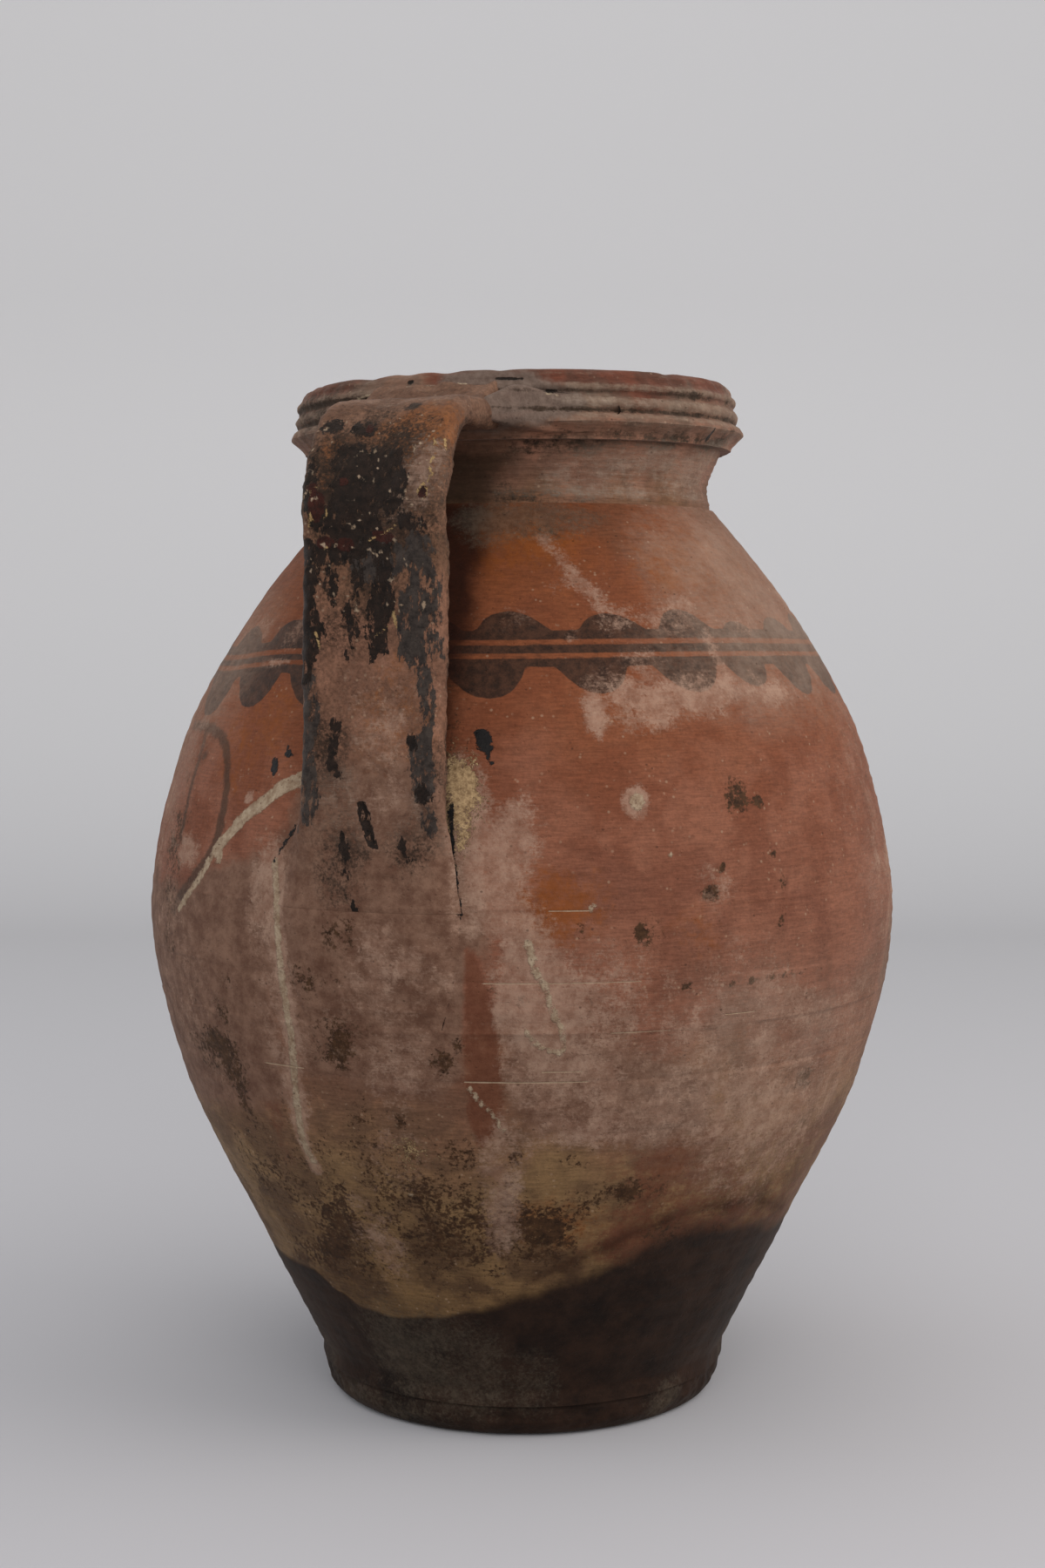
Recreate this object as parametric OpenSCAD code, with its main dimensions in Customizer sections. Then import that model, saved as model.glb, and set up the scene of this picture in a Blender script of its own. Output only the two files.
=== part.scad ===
// Two-handled storage jar of unglazed earthenware, thrown in sections and luted together.
// Millimetres, +Z up. The origin is the centre of the flat underside.
// The front handle lies towards -Y and the back handle towards +Y.
// The outline is given as a gauge: the outer radius at a few heights, with a smooth curve between.

/* [Base] */
// Radius of the rounded heel, the widest part of the base disc
heel_r = 95.5; // [80:0.5:115]
// Rounding from the heel to the flat underside that the jar rests on
heel_round = 10.5; // [6:0.5:11]
// Height of the seat on which the wall stands
heel_h = 16; // [13:1:22]
// Height of the floor inside the jar
floor_z = 20; // [18:1:30]

/* [Body outline] */
// How far the foot of the wall stands in from the heel
foot_in = 0.5; // [0:0.5:3]
// Radius at the widest level
belly_r = 178; // [148:1:214]
// Height of the widest level
belly_z = 233; // [205:1:260]
// Height of the gauge point on the low wall
low_z = 84; // [60:1:110]
// How far the low wall stands in from the belly
low_in = 49; // [35:1:52]
// Height of the gauge point on the rising wall
rise_z = 156; // [130:1:180]
// How far the rising wall stands in from the belly
rise_in = 15.5; // [8:0.5:30]
// Height of the line where the neck stands on the shoulder
root_z = 421; // [405:1:510]
// Drop from that line to the gauge point on the shoulder
shoulder_drop = 109; // [95:1:125]
// How far the shoulder stands in from the belly
shoulder_in = 15.5; // [8:0.5:30]
// Drop from that line to the gauge point on the upper slope
slope_drop = 49; // [38:1:65]
// How far the upper slope stands in from the belly
slope_in = 47.5; // [38:0.5:52]
// Thickness of the thrown wall, measured square to it
wall_t = 9; // [7:0.1:12]

/* [Luted seams] */
// Height of the seam between the two thrown halves
seam_z = 217; // [190:1:225]
// Height of the lap at each seam
lap_h = 7; // [4:0.5:9]
// Room between lapped faces
joint_gap = 0.1; // [0.05:0.05:0.3]

/* [Neck and mouth] */
// Radius of the straight bore in the mouth
mouth_r = 84; // [70:0.5:101]
// How far the outside of the shoulder line stands out from that bore
root_out = 8.5; // [6:0.5:12]
// Thickness of the wall at the shoulder line
root_wall = 11; // [10:0.5:12.5]
// Step in at the shoulder line, where the neck stands on the shoulder
root_step = 1; // [0.5:0.1:1.5]
// Height of the neck, from the shoulder line to the collar
neck_h = 28; // [22:1:40]
// Height of the waist above the shoulder line
waist_rise = 11; // [9:1:14]
// How far the neck draws in at its waist
waist_in = 2.5; // [0.5:0.5:4]
// How far the neck flares out under the collar
flare_out = 5; // [3:0.5:8]
// Width of the tongue on the neck that stands in the collar
tongue_w = 6; // [4:0.5:7]

/* [Rim collar] */
// Height of the collar
collar_h = 31; // [29:0.5:40]
// Height of the flange edge above the collar's underside
flange_rise = 7.2; // [5:0.1:9]
// Height of the flange's rounded top, from its edge to the lower groove
flange_top = 4.5; // [3:0.5:6]
// How far the flange stands out from the lower groove
flange_out = 4.6; // [2:0.1:8]
// How far the lower groove stands out from the neck
groove_out = 5.9; // [4:0.1:8]
// Step in from the lower groove to the upper one
groove_step = 0.8; // [0:0.1:1.5]
// Height of the lower moulded bead
bead_h = 8; // [6:0.5:9]
// How far a bead stands out from its groove
bead_out = 2.2; // [0.5:0.1:3]
// Rounding of the lip, outside and inside
lip_round = 5; // [3:0.5:6]

/* [Strap handles] */
// Width of the strap
strap_w = 65; // [45:1:80]
// Thickness of the strap
strap_t = 14; // [10:0.1:18]
// Height of the flat that is left between the strap's rounded edges
edge_flat = 3; // [1:0.5:4]
// How far the outer face of the grip stands out past the belly
grip_out = 0; // [-8:0.5:20]
// Height of the strap's root above the collar's underside
strap_rise = 10; // [9:0.5:13]
// How far the strap's root reaches in behind the flange edge
root_reach = 9; // [6:0.5:12]
// Length of the level start of the strap, out from the flange
level_run = 21; // [10:1:26]
// Height of the bend from the level start to the grip
bend_h = 56; // [40:1:70]
// Drop from the shoulder line to where the strap lands on the wall
land_drop = 121; // [110:1:135]
// Length of the strap's foot, down the wall
foot_run = 52; // [40:1:60]
// Thickness of the strap's foot at its end
foot_t = 4.5; // [3:0.5:6]
// How much wider each side of the strap's foot is than the grip
foot_flare = 4.5; // [0:0.5:8]

/* [Clay wads] */
// How far the root wad runs along the collar
wad_run = 44; // [25:1:55]
// How far the root wad fills out along the strap's side
wad_fill = 26; // [12:1:34]
// Height of the root wad at the strap
wad_h = 24; // [16:1:27]
// How far the wad's middle lies above the strap's middle
wad_lift = 1; // [0:0.5:2]
// Share of its height which the wad loses towards its far end
wad_taper = 0.45; // [0.2:0.05:0.6]
// How far the wad's far end stays in behind the flange edge
wad_in = 4; // [2:0.5:6]
// Rounding of the wad's upper and lower edges
wad_round = 6; // [3:0.5:8]
// Height of the smeared pad below the strap's foot
pad_h = 62; // [30:1:80]
// Half the width of the pad at its lower end
pad_end_w = 22; // [12:1:30]
// Thickness of the pad's feathered edge
feather_t = 0.6; // [0.4:0.1:1]
// Room between pressed-on clay and the smooth wall it is luted to
lute_gap = 0.2; // [0.1:0.05:0.4]
// Room between pressed-on clay and the beads of the collar
bead_gap = 0.5; // [0.4:0.05:0.8]

/* [Hidden] */
$fn = 128;
step_z = 7;          // height of one facet of the outline
edge_cut = 1;        // small bevel on the upper edges of the base disc
gap_start = 2;       // height below the collar at which the gap to pressed-on clay widens
collar_z = root_z + neck_h;
top_z = collar_z + collar_h;
underside_r = heel_r - heel_round;
root_r = mouth_r + root_out;
throat_r = root_r - root_wall;
neck_lap_r = throat_r + (root_wall - root_step) / 2;
neck_top_r = root_r + flare_out;
tongue_r = (mouth_r + neck_top_r) / 2;
groove_r = neck_top_r + groove_out;
lip_r = groove_r - groove_step;
flange_r = groove_r + flange_out;
edge_z = collar_z + flange_rise;
bead_z = edge_z + flange_top;
wall_gauge = [[heel_h, heel_r - foot_in], [low_z, belly_r - low_in], [rise_z, belly_r - rise_in],
              [belly_z, belly_r], [root_z - shoulder_drop, belly_r - shoulder_in],
              [root_z - slope_drop, belly_r - slope_in], [root_z, root_r]];
neck_gauge = [[root_z, root_r - root_step], [root_z + waist_rise, root_r - waist_in],
              [collar_z, neck_top_r]];
throat_gauge = [[root_z, throat_r], [root_z + waist_rise, root_r - waist_in - wall_t],
                [collar_z, mouth_r]];
seam_r = body_r(seam_z) - wall_t / 2;
strap_z = collar_z + strap_rise;
strap_round = (strap_t - edge_flat) / 2;
seat_r = flange_r - root_reach;
bend_r = flange_r + level_run;
reach_r = belly_r + grip_out - strap_t / 2;
land_z = root_z - land_drop;
strap_end_z = land_z - foot_run;
land_r = body_r(land_z) + lute_gap + strap_t / 2;

// Slope of a gauge at point i, taken from its neighbours
function gauge_slope(g, i) =
    let (a = max(i - 1, 0), b = min(i + 1, len(g) - 1))
    (g[b][1] - g[a][1]) / (g[b][0] - g[a][0]);

// Number of the gauge's span that holds height z
function gauge_span(g, z, i = 0) =
    i >= len(g) - 2 || z <= g[i + 1][0] ? i : gauge_span(g, z, i + 1);

// Radius at height z on the smooth curve through a gauge
function gauge_r(g, z) =
    let (i = gauge_span(g, z), h = g[i + 1][0] - g[i][0], t = (z - g[i][0]) / h,
         m0 = gauge_slope(g, i) * h, m1 = gauge_slope(g, i + 1) * h)
    (2 * t * t * t - 3 * t * t + 1) * g[i][1] + (t * t * t - 2 * t * t + t) * m0
    + (3 * t * t - 2 * t * t * t) * g[i + 1][1] + (t * t * t - t * t) * m1;

function body_r(z) = gauge_r(wall_gauge, z);
function body_slope(z) = body_r(z + 0.5) - body_r(z - 0.5);

// Inner radius of the wall at height z
function inner_r(z) = body_r(z) - wall_t * sqrt(1 + pow(body_slope(z), 2));

// Heights from a to b in equal steps of about step_z
function heights(a, b) = let (n = max(2, ceil((b - a) / step_z))) [for (i = [0:n]) a + (b - a) * i / n];

// Points of one bead from height z0 up to z1, swelling from radius r by out
function bead(z0, z1, r, out, n = 6) =
    [for (i = [0:n - 1]) [z0 + (z1 - z0) * i / n, r + out * sin(180 * i / n)]];

// Outer outline of the collar as height and radius pairs: hollow under the flange, the flange's
// rounded top, lower bead, upper bead and lip
collar_outline = concat(
    [for (i = [0:4]) [collar_z + flange_rise * (1 - cos(90 * i / 4)),
                      neck_top_r + (flange_r - neck_top_r) * sin(90 * i / 4)]],
    [for (i = [1:3]) [edge_z + flange_top * sin(90 * i / 4),
                      groove_r + flange_out * cos(90 * i / 4)]],
    bead(bead_z, bead_z + bead_h, groove_r, bead_out),
    bead(bead_z + bead_h, top_z - lip_round, lip_r, bead_out, 5),
    [for (i = [0:5]) [top_z - lip_round * (1 - sin(90 * i / 5)),
                      lip_r - lip_round * (1 - cos(90 * i / 5))]]);

// Outer radius of the whole jar at height z
function skin_r(z) =
    z > top_z ? 0
    : z >= collar_z ? lookup(z, collar_outline)
    : z >= root_z ? gauge_r(neck_gauge, z)
    : body_r(z);

// Moves a point out towards -Y until it lies on the skin, if it was inside it
function press(p) =
    let (gap = p[2] < collar_z - gap_start ? lute_gap : bead_gap,
         w = skin_r(p[2]) + gap, y = -sqrt(max(0, w * w - p[0] * p[0])))
    [p[0], min(p[1], y), p[2]];

// A closed surface over rings of n points each. Each end ring is closed by a ladder of faces
// between its first half and its second half.
module skin_over(rings) {
    n = len(rings[0]);
    m = len(rings);
    sides = [for (j = [0:m - 2], i = [0:n - 1])
        let (a = j * n + i, b = j * n + (i + 1) % n) each [[a, b + n, b], [a, a + n, b + n]]];
    ends = [for (i = [0:n / 2 - 2])
        let (a = i, b = n - 1 - i, c = (m - 1) * n)
        each [[a, a + 1, b], [a + 1, b - 1, b],
              [c + a, c + b, c + a + 1], [c + a + 1, c + b, c + b - 1]]];
    polyhedron(points = [for (ring = rings) each ring], faces = concat(sides, ends), convexity = 6);
}

// Cross-section of the strap as width and thickness offsets, counted round its edge.
// The broad faces have extra points, so that a face pressed on the wall can follow it.
function strap_section(w, t) =
    let (c = min(strap_round, t / 2 - 0.1), k = 4, f = 7)
    concat([for (i = [0:k]) [w / 2 - c + c * cos(90 * i / k), t / 2 - c + c * sin(90 * i / k)]],
           [for (i = [1:f]) [(w / 2 - c) * (1 - 2 * i / (f + 1)), t / 2]],
           [for (i = [0:k]) [-w / 2 + c - c * sin(90 * i / k), t / 2 - c + c * cos(90 * i / k)]],
           [for (i = [0:k]) [-w / 2 + c - c * cos(90 * i / k), -t / 2 + c - c * sin(90 * i / k)]],
           [for (i = [1:f]) [-(w / 2 - c) * (1 - 2 * i / (f + 1)), -t / 2]],
           [for (i = [0:k]) [w / 2 - c + c * sin(90 * i / k), -t / 2 + c - c * cos(90 * i / k)]]);

// One ring of the strap round the point r, z of its middle line, which heads down by the angle dip.
// A wrap of 1 bends the ring round the jar's axis and a wrap of 0 leaves it flat.
function strap_ring(r, z, dip, w, t, size = 1, wrap = 0) =
    [for (q = strap_section(w, t) * size)
        let (across = r + q[1] * sin(dip), fall = across - sqrt(across * across - q[0] * q[0]))
        press([q[0], wrap * fall - across, z + q[1] * cos(dip)])];

// The strap: root pressed on the collar, level start, elliptical bend, grip, foot on the wall
module strap() {
    seat = [for (i = [1:5]) strap_ring(seat_r, strap_z, 0, strap_w, strap_t, i / 6)];
    level = [for (i = [0:3]) strap_ring(seat_r + (bend_r - seat_r) * i / 4, strap_z, 0,
                                        strap_w, strap_t)];
    bend = [for (a = [0:7.5:90])
        strap_ring(bend_r + (reach_r - bend_r) * sin(a), strap_z - bend_h * (1 - cos(a)),
                   atan2(bend_h * sin(a), (reach_r - bend_r) * cos(a)), strap_w, strap_t)];
    grip = [for (i = [1:8]) let (t = i / 9, bow = t * t)
        strap_ring(reach_r + (land_r - reach_r) * bow,
                   strap_z - bend_h + (land_z - strap_z + bend_h) * t, 90, strap_w, strap_t)];
    foot = [for (i = [0:8])
        let (u = i / 8, z = land_z - foot_run * u, t = strap_t + (foot_t - strap_t) * u)
        strap_ring(body_r(z) + lute_gap + t / 2, z, 90,
                   strap_w + 2 * foot_flare * u * u, t, 1, u * u * (3 - 2 * u))];
    skin_over(concat(seat, level, bend, grip, foot));
}

// Point across x and height z of a layer that stands out from the skin by lift
function on_skin(x, z, lift) =
    let (w = skin_r(z) + lift) [x, -sqrt(w * w - x * x), z];

// Lump of clay worked into the corner between the strap's side and the collar
module root_wad() {
    start = strap_w / 2 + lute_gap;
    mid = strap_z + wad_lift;
    k = 12;
    skin_over([for (i = [0:10])
        let (t = i / 10, x = start + wad_run * t, out = flange_r - wad_in + wad_fill * pow(1 - t, 2),
             h = wad_h * (1 - wad_taper * t) / 2)
        concat([for (j = [0:k])
                   let (a = 90 - 180 * j / k, z = mid + h * sin(a), low = bead_gap + feather_t)
                   on_skin(x, z, max(low, out - wad_round * (1 - cos(a)) - skin_r(z)))],
               [for (j = [0:k])
                   let (a = -90 + 180 * j / k)
                   on_skin(x, mid + h * sin(a), bead_gap)])]);
}

// Pad of clay smeared down the wall below the strap's foot, feathered to its edge
module foot_pad() {
    rows = 10;
    cols = 12;
    top = strap_end_z - lute_gap;
    top_w = strap_w / 2 + foot_flare;
    function half_w(v) = top_w + (pad_end_w - top_w) * v * v;
    function at(v, u, lift) = on_skin(half_w(v) * u, top - pad_h * v, lute_gap + lift);
    function thick(v, u) = feather_t + (foot_t - feather_t) * (1 - u * u * u * u) * (1 - v);
    skin_over([for (j = [0:rows])
        let (v = j / rows)
        concat([for (i = [0:cols]) let (u = 1 - 2 * i / cols) at(v, u, thick(v, u))],
               [for (i = [0:cols]) let (u = 2 * i / cols - 1) at(v, u, 0)])]);
}

// Disc that the jar stands on, with a raised floor that centres the wall
module base_disc() {
    floor_r = inner_r(heel_h) - joint_gap;
    color("#3f342e")
    rotate_extrude()
    polygon(concat([[0, 0], [underside_r, 0]],
                   [for (a = [15:15:90]) [underside_r + heel_round * sin(a), heel_round * (1 - cos(a))]],
                   [[heel_r, heel_h - edge_cut], [heel_r - edge_cut, heel_h], [floor_r, heel_h],
                    [floor_r, floor_z - edge_cut], [floor_r - edge_cut, floor_z], [0, floor_z]]));
}

// Lower thrown half, with a lap at its top that stands inside the upper half
module lower_body() {
    outside = heights(heel_h, seam_z);
    inside = heights(heel_h, seam_z + lap_h);
    color("#7d5a42")
    rotate_extrude()
    polygon(concat([for (z = outside) [body_r(z), z]],
                   [[seam_r - joint_gap, seam_z], [seam_r - joint_gap, seam_z + lap_h]],
                   [for (i = [len(inside) - 1:-1:0]) [inner_r(inside[i]), inside[i]]]));
}

// Upper thrown half, with a lap at its top that stands inside the neck
module upper_body() {
    outside = heights(seam_z, root_z);
    inside = heights(seam_z + lap_h, root_z);
    color("#7c4a35")
    rotate_extrude()
    polygon(concat([for (z = outside) [body_r(z), z]],
                   [[neck_lap_r - joint_gap, root_z], [neck_lap_r - joint_gap, root_z + lap_h],
                    [throat_r, root_z + lap_h]],
                   [for (i = [len(inside) - 1:-1:0]) [inner_r(inside[i]), inside[i]]],
                   [[seam_r, seam_z + lap_h], [seam_r, seam_z]]));
}

// Neck, with a tongue at its top that stands in a groove of the collar
module neck() {
    outside = [for (i = [0:8]) root_z + neck_h * i / 8];
    inside = [for (i = [0:5]) root_z + lap_h + (neck_h - lap_h) * i / 5];
    color("#735548")
    rotate_extrude()
    polygon(concat([for (z = outside) [gauge_r(neck_gauge, z), z]],
                   [[tongue_r + tongue_w / 2, collar_z],
                    [tongue_r + tongue_w / 2, collar_z + lap_h],
                    [tongue_r - tongue_w / 2, collar_z + lap_h],
                    [tongue_r - tongue_w / 2, collar_z]],
                   [for (i = [5:-1:0]) [gauge_r(throat_gauge, inside[i]), inside[i]]],
                   [[neck_lap_r, root_z + lap_h], [neck_lap_r, root_z]]));
}

// Folded rim, moulded outside with a flange and two beads
module rim_collar() {
    groove_half = tongue_w / 2 + joint_gap;
    color("#6e594e")
    rotate_extrude()
    polygon(concat([for (p = collar_outline) [p[1], p[0]]],
                   [for (i = [5:-1:0]) [mouth_r + lip_round * (1 - cos(90 * i / 5)),
                                        top_z - lip_round * (1 - sin(90 * i / 5))]],
                   [[mouth_r, collar_z],
                    [tongue_r - groove_half, collar_z],
                    [tongue_r - groove_half, collar_z + lap_h + joint_gap],
                    [tongue_r + groove_half, collar_z + lap_h + joint_gap],
                    [tongue_r + groove_half, collar_z]]));
}

module front_strap() { color("#4a382f") strap(); }
module back_strap() { color("#4a382f") rotate([0, 0, 180]) strap(); }
module front_root_wad() { color("#62534b") root_wad(); }
module back_root_wad() { color("#62534b") rotate([0, 0, 180]) root_wad(); }
module front_foot_pad() { color("#6f5445") foot_pad(); }
module back_foot_pad() { color("#6f5445") rotate([0, 0, 180]) foot_pad(); }

base_disc();
lower_body();
upper_body();
neck();
rim_collar();
front_strap();
back_strap();
front_root_wad();
back_root_wad();
front_foot_pad();
back_foot_pad();
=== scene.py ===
"""Two-handled olive jar of unglazed earthenware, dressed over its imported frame.

Blender units are metres. Sizes here are millimetres, turned to metres by MM where a mesh is made.
A place on the jar is given by bearing, in degrees from the front handle (-Y) towards +X, and by
height above the underside. A place on a strap is given across it and along its outer face.
"""
import logging
import math
import random
from dataclasses import dataclass, field
from enum import Enum

import bmesh
import bpy
import numpy as np
from mathutils import Matrix, Vector


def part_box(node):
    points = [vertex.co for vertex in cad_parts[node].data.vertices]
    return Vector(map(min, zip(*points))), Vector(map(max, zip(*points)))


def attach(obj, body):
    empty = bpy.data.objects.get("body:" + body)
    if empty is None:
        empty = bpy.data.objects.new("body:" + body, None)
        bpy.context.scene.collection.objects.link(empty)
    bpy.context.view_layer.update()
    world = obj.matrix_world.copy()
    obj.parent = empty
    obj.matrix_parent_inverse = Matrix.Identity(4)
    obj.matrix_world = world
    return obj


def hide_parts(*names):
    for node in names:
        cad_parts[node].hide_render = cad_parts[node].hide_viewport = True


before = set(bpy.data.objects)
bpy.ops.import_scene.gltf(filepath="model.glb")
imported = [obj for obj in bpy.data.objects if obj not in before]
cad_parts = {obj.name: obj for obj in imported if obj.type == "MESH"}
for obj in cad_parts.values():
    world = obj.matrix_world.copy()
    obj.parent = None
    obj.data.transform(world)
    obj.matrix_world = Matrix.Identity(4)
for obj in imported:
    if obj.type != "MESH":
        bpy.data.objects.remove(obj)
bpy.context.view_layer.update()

MM = 0.001
FAR = -25.0          # depth in mm given to a point that lies far outside every mark
SHARP = 0.8          # angle in radians from which an edge between two faces is shaded as a crease
LOG = logging.getLogger("olive_jar")


class Layer(Enum):
    """Names of the values that each mesh carries for its material."""

    SLIP = "slip"
    LIME = "lime"
    BLOOM = "bloom"
    # Pale haze on the flanks: dust with a painted sheen.
    DUST_AND_SHEEN = "dust_and_sheen"
    SOIL = "soil"
    WARM = "warm"
    ROSE = "rose"
    TAR = "tar"
    ASH = "ash"
    BLISTER = "blister"
    DIP = "dip"
    SCAR = "scar"
    CREST = "crest"
    CREAM = "cream"
    HAZE = "haze"
    SMEAR = "smear"
    # Painted shade behind and under the straps, with a real dark halo along the dip's edge.
    SHADE_AND_GRIME = "shade_and_grime"
    LOOP = "loop"


def smooth(low: float, high: float, value: np.ndarray) -> np.ndarray:
    """Eases from 0 at low to 1 at high.

    Args:
        low: Value at which the result leaves 0.
        high: Value at which the result reaches 1.
        value: Values to ease.

    Returns:
        The eased values, from 0 to 1.
    """
    t = np.clip((value - low) / (high - low), 0.0, 1.0)
    return t * t * (3 - 2 * t)


def wrap(angle: np.ndarray) -> np.ndarray:
    """Returns an angle in degrees brought to the range from -180 to 180."""
    return (angle + 180.0) % 360.0 - 180.0


def follow(keys: tuple, at: np.ndarray) -> np.ndarray:
    """Eases round the jar through values that are given at a few bearings.

    Args:
        keys: Pairs of bearing and value, with rising bearings inside one turn.
        at: Bearings to read.

    Returns:
        The value at each bearing.
    """
    first = keys[0][0]
    turned = (np.asarray(at) - first) % 360.0
    bearings = np.array([k[0] - first for k in keys] + [360.0])
    values = np.array([k[1] for k in keys] + [keys[0][1]])
    i = np.clip(np.searchsorted(bearings, turned, side="right") - 1, 0, len(keys) - 1)
    t = (turned - bearings[i]) / (bearings[i + 1] - bearings[i])
    return values[i] + (values[i + 1] - values[i]) * smooth(0.0, 1.0, t)


def swell(places: np.ndarray, size: float, seed: int, waves: int = 14) -> np.ndarray:
    """Soft random relief made of a few crossing waves.

    Args:
        places: Points in mm, one row each.
        size: Length of a typical hump in mm.
        seed: Seed of the random waves.
        waves: How many waves are added.

    Returns:
        A value for each point, mostly from -1 to 1.
    """
    draw = np.random.default_rng(seed)
    total = np.zeros(len(places))
    for _ in range(waves):
        heading = draw.normal(size=3)
        heading /= np.linalg.norm(heading)
        pace = 2 * math.pi / (size * draw.uniform(0.7, 1.8))
        total += np.sin(places @ heading * pace + draw.uniform(0, 2 * math.pi))
    return total / math.sqrt(waves / 2) / 1.6


@dataclass(frozen=True)
class Outline:
    """Outer or inner radius of a turned piece by height, read from its frame node."""

    heights: np.ndarray
    radii: np.ndarray

    @classmethod
    def read(cls, *spans: tuple, inside: bool = False, split: float = 0.0) -> "Outline":
        """Reads the outline of one or more nodes, from the faces that look away from the axis.

        Args:
            *spans: Each node's name with the lowest and highest height to read.
            inside: Whether the faces that look towards the axis are wanted.
            split: Radius that parts the outer faces from the inner ones, or 0.

        Returns:
            The outline, in mm.
        """
        found = {}
        for name, low, high in spans:
            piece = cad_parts[name]
            for face in piece.data.polygons:
                away = face.normal.x * face.center.x + face.normal.y * face.center.y
                reach = face.center.xy.length
                if (away < 0) is not inside or abs(away) < 0.05 * reach:
                    continue
                if split and (reach < split * MM) is not inside:
                    continue
                for index in face.vertices:
                    place = piece.data.vertices[index].co / MM
                    z, r = round(place.z, 1), math.hypot(place.x, place.y)
                    if low <= z <= high and (z not in found or (r < found[z]) is inside):
                        found[z] = r
        heights = np.array(sorted(found))
        return cls(heights, np.array([found[z] for z in heights]))

    def radius(self, at: np.ndarray) -> np.ndarray:
        """Returns the radius at some heights, on a smooth curve through the outline's points."""
        z = np.clip(np.asarray(at, dtype=float), self.heights[0], self.heights[-1])
        i = np.clip(np.searchsorted(self.heights, z, side="right") - 1, 0, len(self.heights) - 2)
        slopes = np.gradient(self.radii, self.heights)
        step = self.heights[i + 1] - self.heights[i]
        t = (z - self.heights[i]) / step
        return ((2 * t**3 - 3 * t**2 + 1) * self.radii[i] + (t**3 - 2 * t**2 + t) * step * slopes[i]
                + (3 * t**2 - 2 * t**3) * self.radii[i + 1] + (t**3 - t**2) * step * slopes[i + 1])

    def stretch(self, at: np.ndarray) -> np.ndarray:
        """Returns how much longer the wall is than its height, at some heights."""
        slope = self.radius(np.asarray(at) + 1.0) - self.radius(np.asarray(at) - 1.0)
        return np.sqrt(1 + (slope / 2) ** 2)


@dataclass(frozen=True)
class Throwing:
    """Unevenness that the potter's hands left: an oval sway, ridges from the fingers and dents."""

    sway: float = 0.55
    ridge: float = 0.16
    dent: float = 0.3
    pitch: float = 8.5
    bias: float = 1.0

    def radial(self, bearing: np.ndarray, height: np.ndarray) -> np.ndarray:
        """Radial shift in mm, never outwards.

        Args:
            bearing: Bearings of the points.
            height: Heights of the points.

        Returns:
            The shift at each point.
        """
        turn = np.radians(bearing)
        sway = self.sway * (np.sin(2 * turn + height / 70.0) + 0.5 * np.sin(3 * turn - height / 45.0)) / 1.5
        climb = height - bearing / 360.0 * self.pitch
        ridges = self.ridge * (np.sin(climb * 2 * math.pi / self.pitch) + 0.7 * np.sin(climb * 1.31 + 1.0)
                               + 0.5 * np.sin(climb * 2.17 + turn))
        places = np.stack([150 * np.sin(turn), -150 * np.cos(turn), height], axis=1)
        dents = self.dent * swell(places, 42.0, 3) + 0.35 * self.dent * swell(places, 11.0, 4)
        return np.minimum(sway + ridges * (0.4 + 0.6 * smooth(-0.5, 0.8, swell(places, 60.0, 5))) + dents
                          - self.bias, -0.02)


@dataclass(frozen=True)
class Lean:
    """The mouth leans: it is tilted and pushed over a little above the shoulder."""

    start_z: float = 398.0
    full_z: float = 452.0
    top_z: float = 480.0
    neck_tilt: float = 0.6
    lip_tilt: float = 0.9
    high_side: float = 118.0
    push: float = 3.0
    push_side: float = -69.0

    def apply(self, places: np.ndarray) -> np.ndarray:
        """Moves points with the lean.

        Args:
            places: Points in mm.

        Returns:
            The moved points.
        """
        x, y, z = places.T
        up = np.radians(self.high_side)
        aside = np.radians(self.push_side)
        angle = np.radians(self.neck_tilt * smooth(self.start_z, self.full_z, z)
                           + (self.lip_tilt - self.neck_tilt) * smooth(self.full_z, self.top_z, z))
        reach = x * math.sin(up) - y * math.cos(up)
        shift = self.push * smooth(self.start_z, self.top_z, z)
        lower = np.tan(angle) * 104.0
        return np.stack([x + shift * math.sin(aside), y - shift * math.cos(aside),
                         z + np.tan(angle) * reach - lower], axis=1)


@dataclass
class Skin:
    """Places on a surface in two directions, in which marks are measured."""

    first: np.ndarray
    second: np.ndarray
    scale: np.ndarray
    stretch: np.ndarray
    round_jar: bool = True

    def part(self, keep: np.ndarray) -> "Skin":
        """Returns the skin at the points that keep picks."""
        return Skin(self.first[keep], self.second[keep], self.scale[keep], self.stretch[keep], self.round_jar)

    def offset(self, point: tuple) -> tuple:
        """Distances in mm from each point of the skin to a place.

        Args:
            point: The place, as bearing and height or as across and along.

        Returns:
            The distance in the first direction and in the second.
        """
        gap = point[0] - self.first
        if self.round_jar:
            gap = wrap(gap)
        return gap * self.scale, (point[1] - self.second) * self.stretch


def jar_skin(bearing: np.ndarray, height: np.ndarray, radius: np.ndarray, stretch: np.ndarray) -> Skin:
    """Returns the skin of a turned surface, on which a degree is as long as the radius makes it."""
    return Skin(bearing, height, np.radians(1.0) * radius, stretch)


@dataclass(frozen=True)
class Run:
    """A line of paint, lime or tar through some places, with its half width at either end in mm."""

    points: tuple
    start: float
    end: float
    full: float = 1.0
    soft: float = 1.0

    def depth(self, skin: Skin) -> np.ndarray:
        """Returns the distance in mm inside the line's edge."""
        best = np.full(len(skin.first), FAR)
        count = len(self.points) - 1
        for i in range(count):
            ax, ay = skin.offset(self.points[i])
            bx, by = skin.offset(self.points[i + 1])
            dx, dy = bx - ax, by - ay
            t = np.clip(-(ax * dx + ay * dy) / np.maximum(dx * dx + dy * dy, 1e-6), 0, 1)
            half = self.start + (self.end - self.start) * (i + t) / count
            best = np.maximum(best, half - np.hypot(ax + t * dx, ay + t * dy))
        return best


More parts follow.
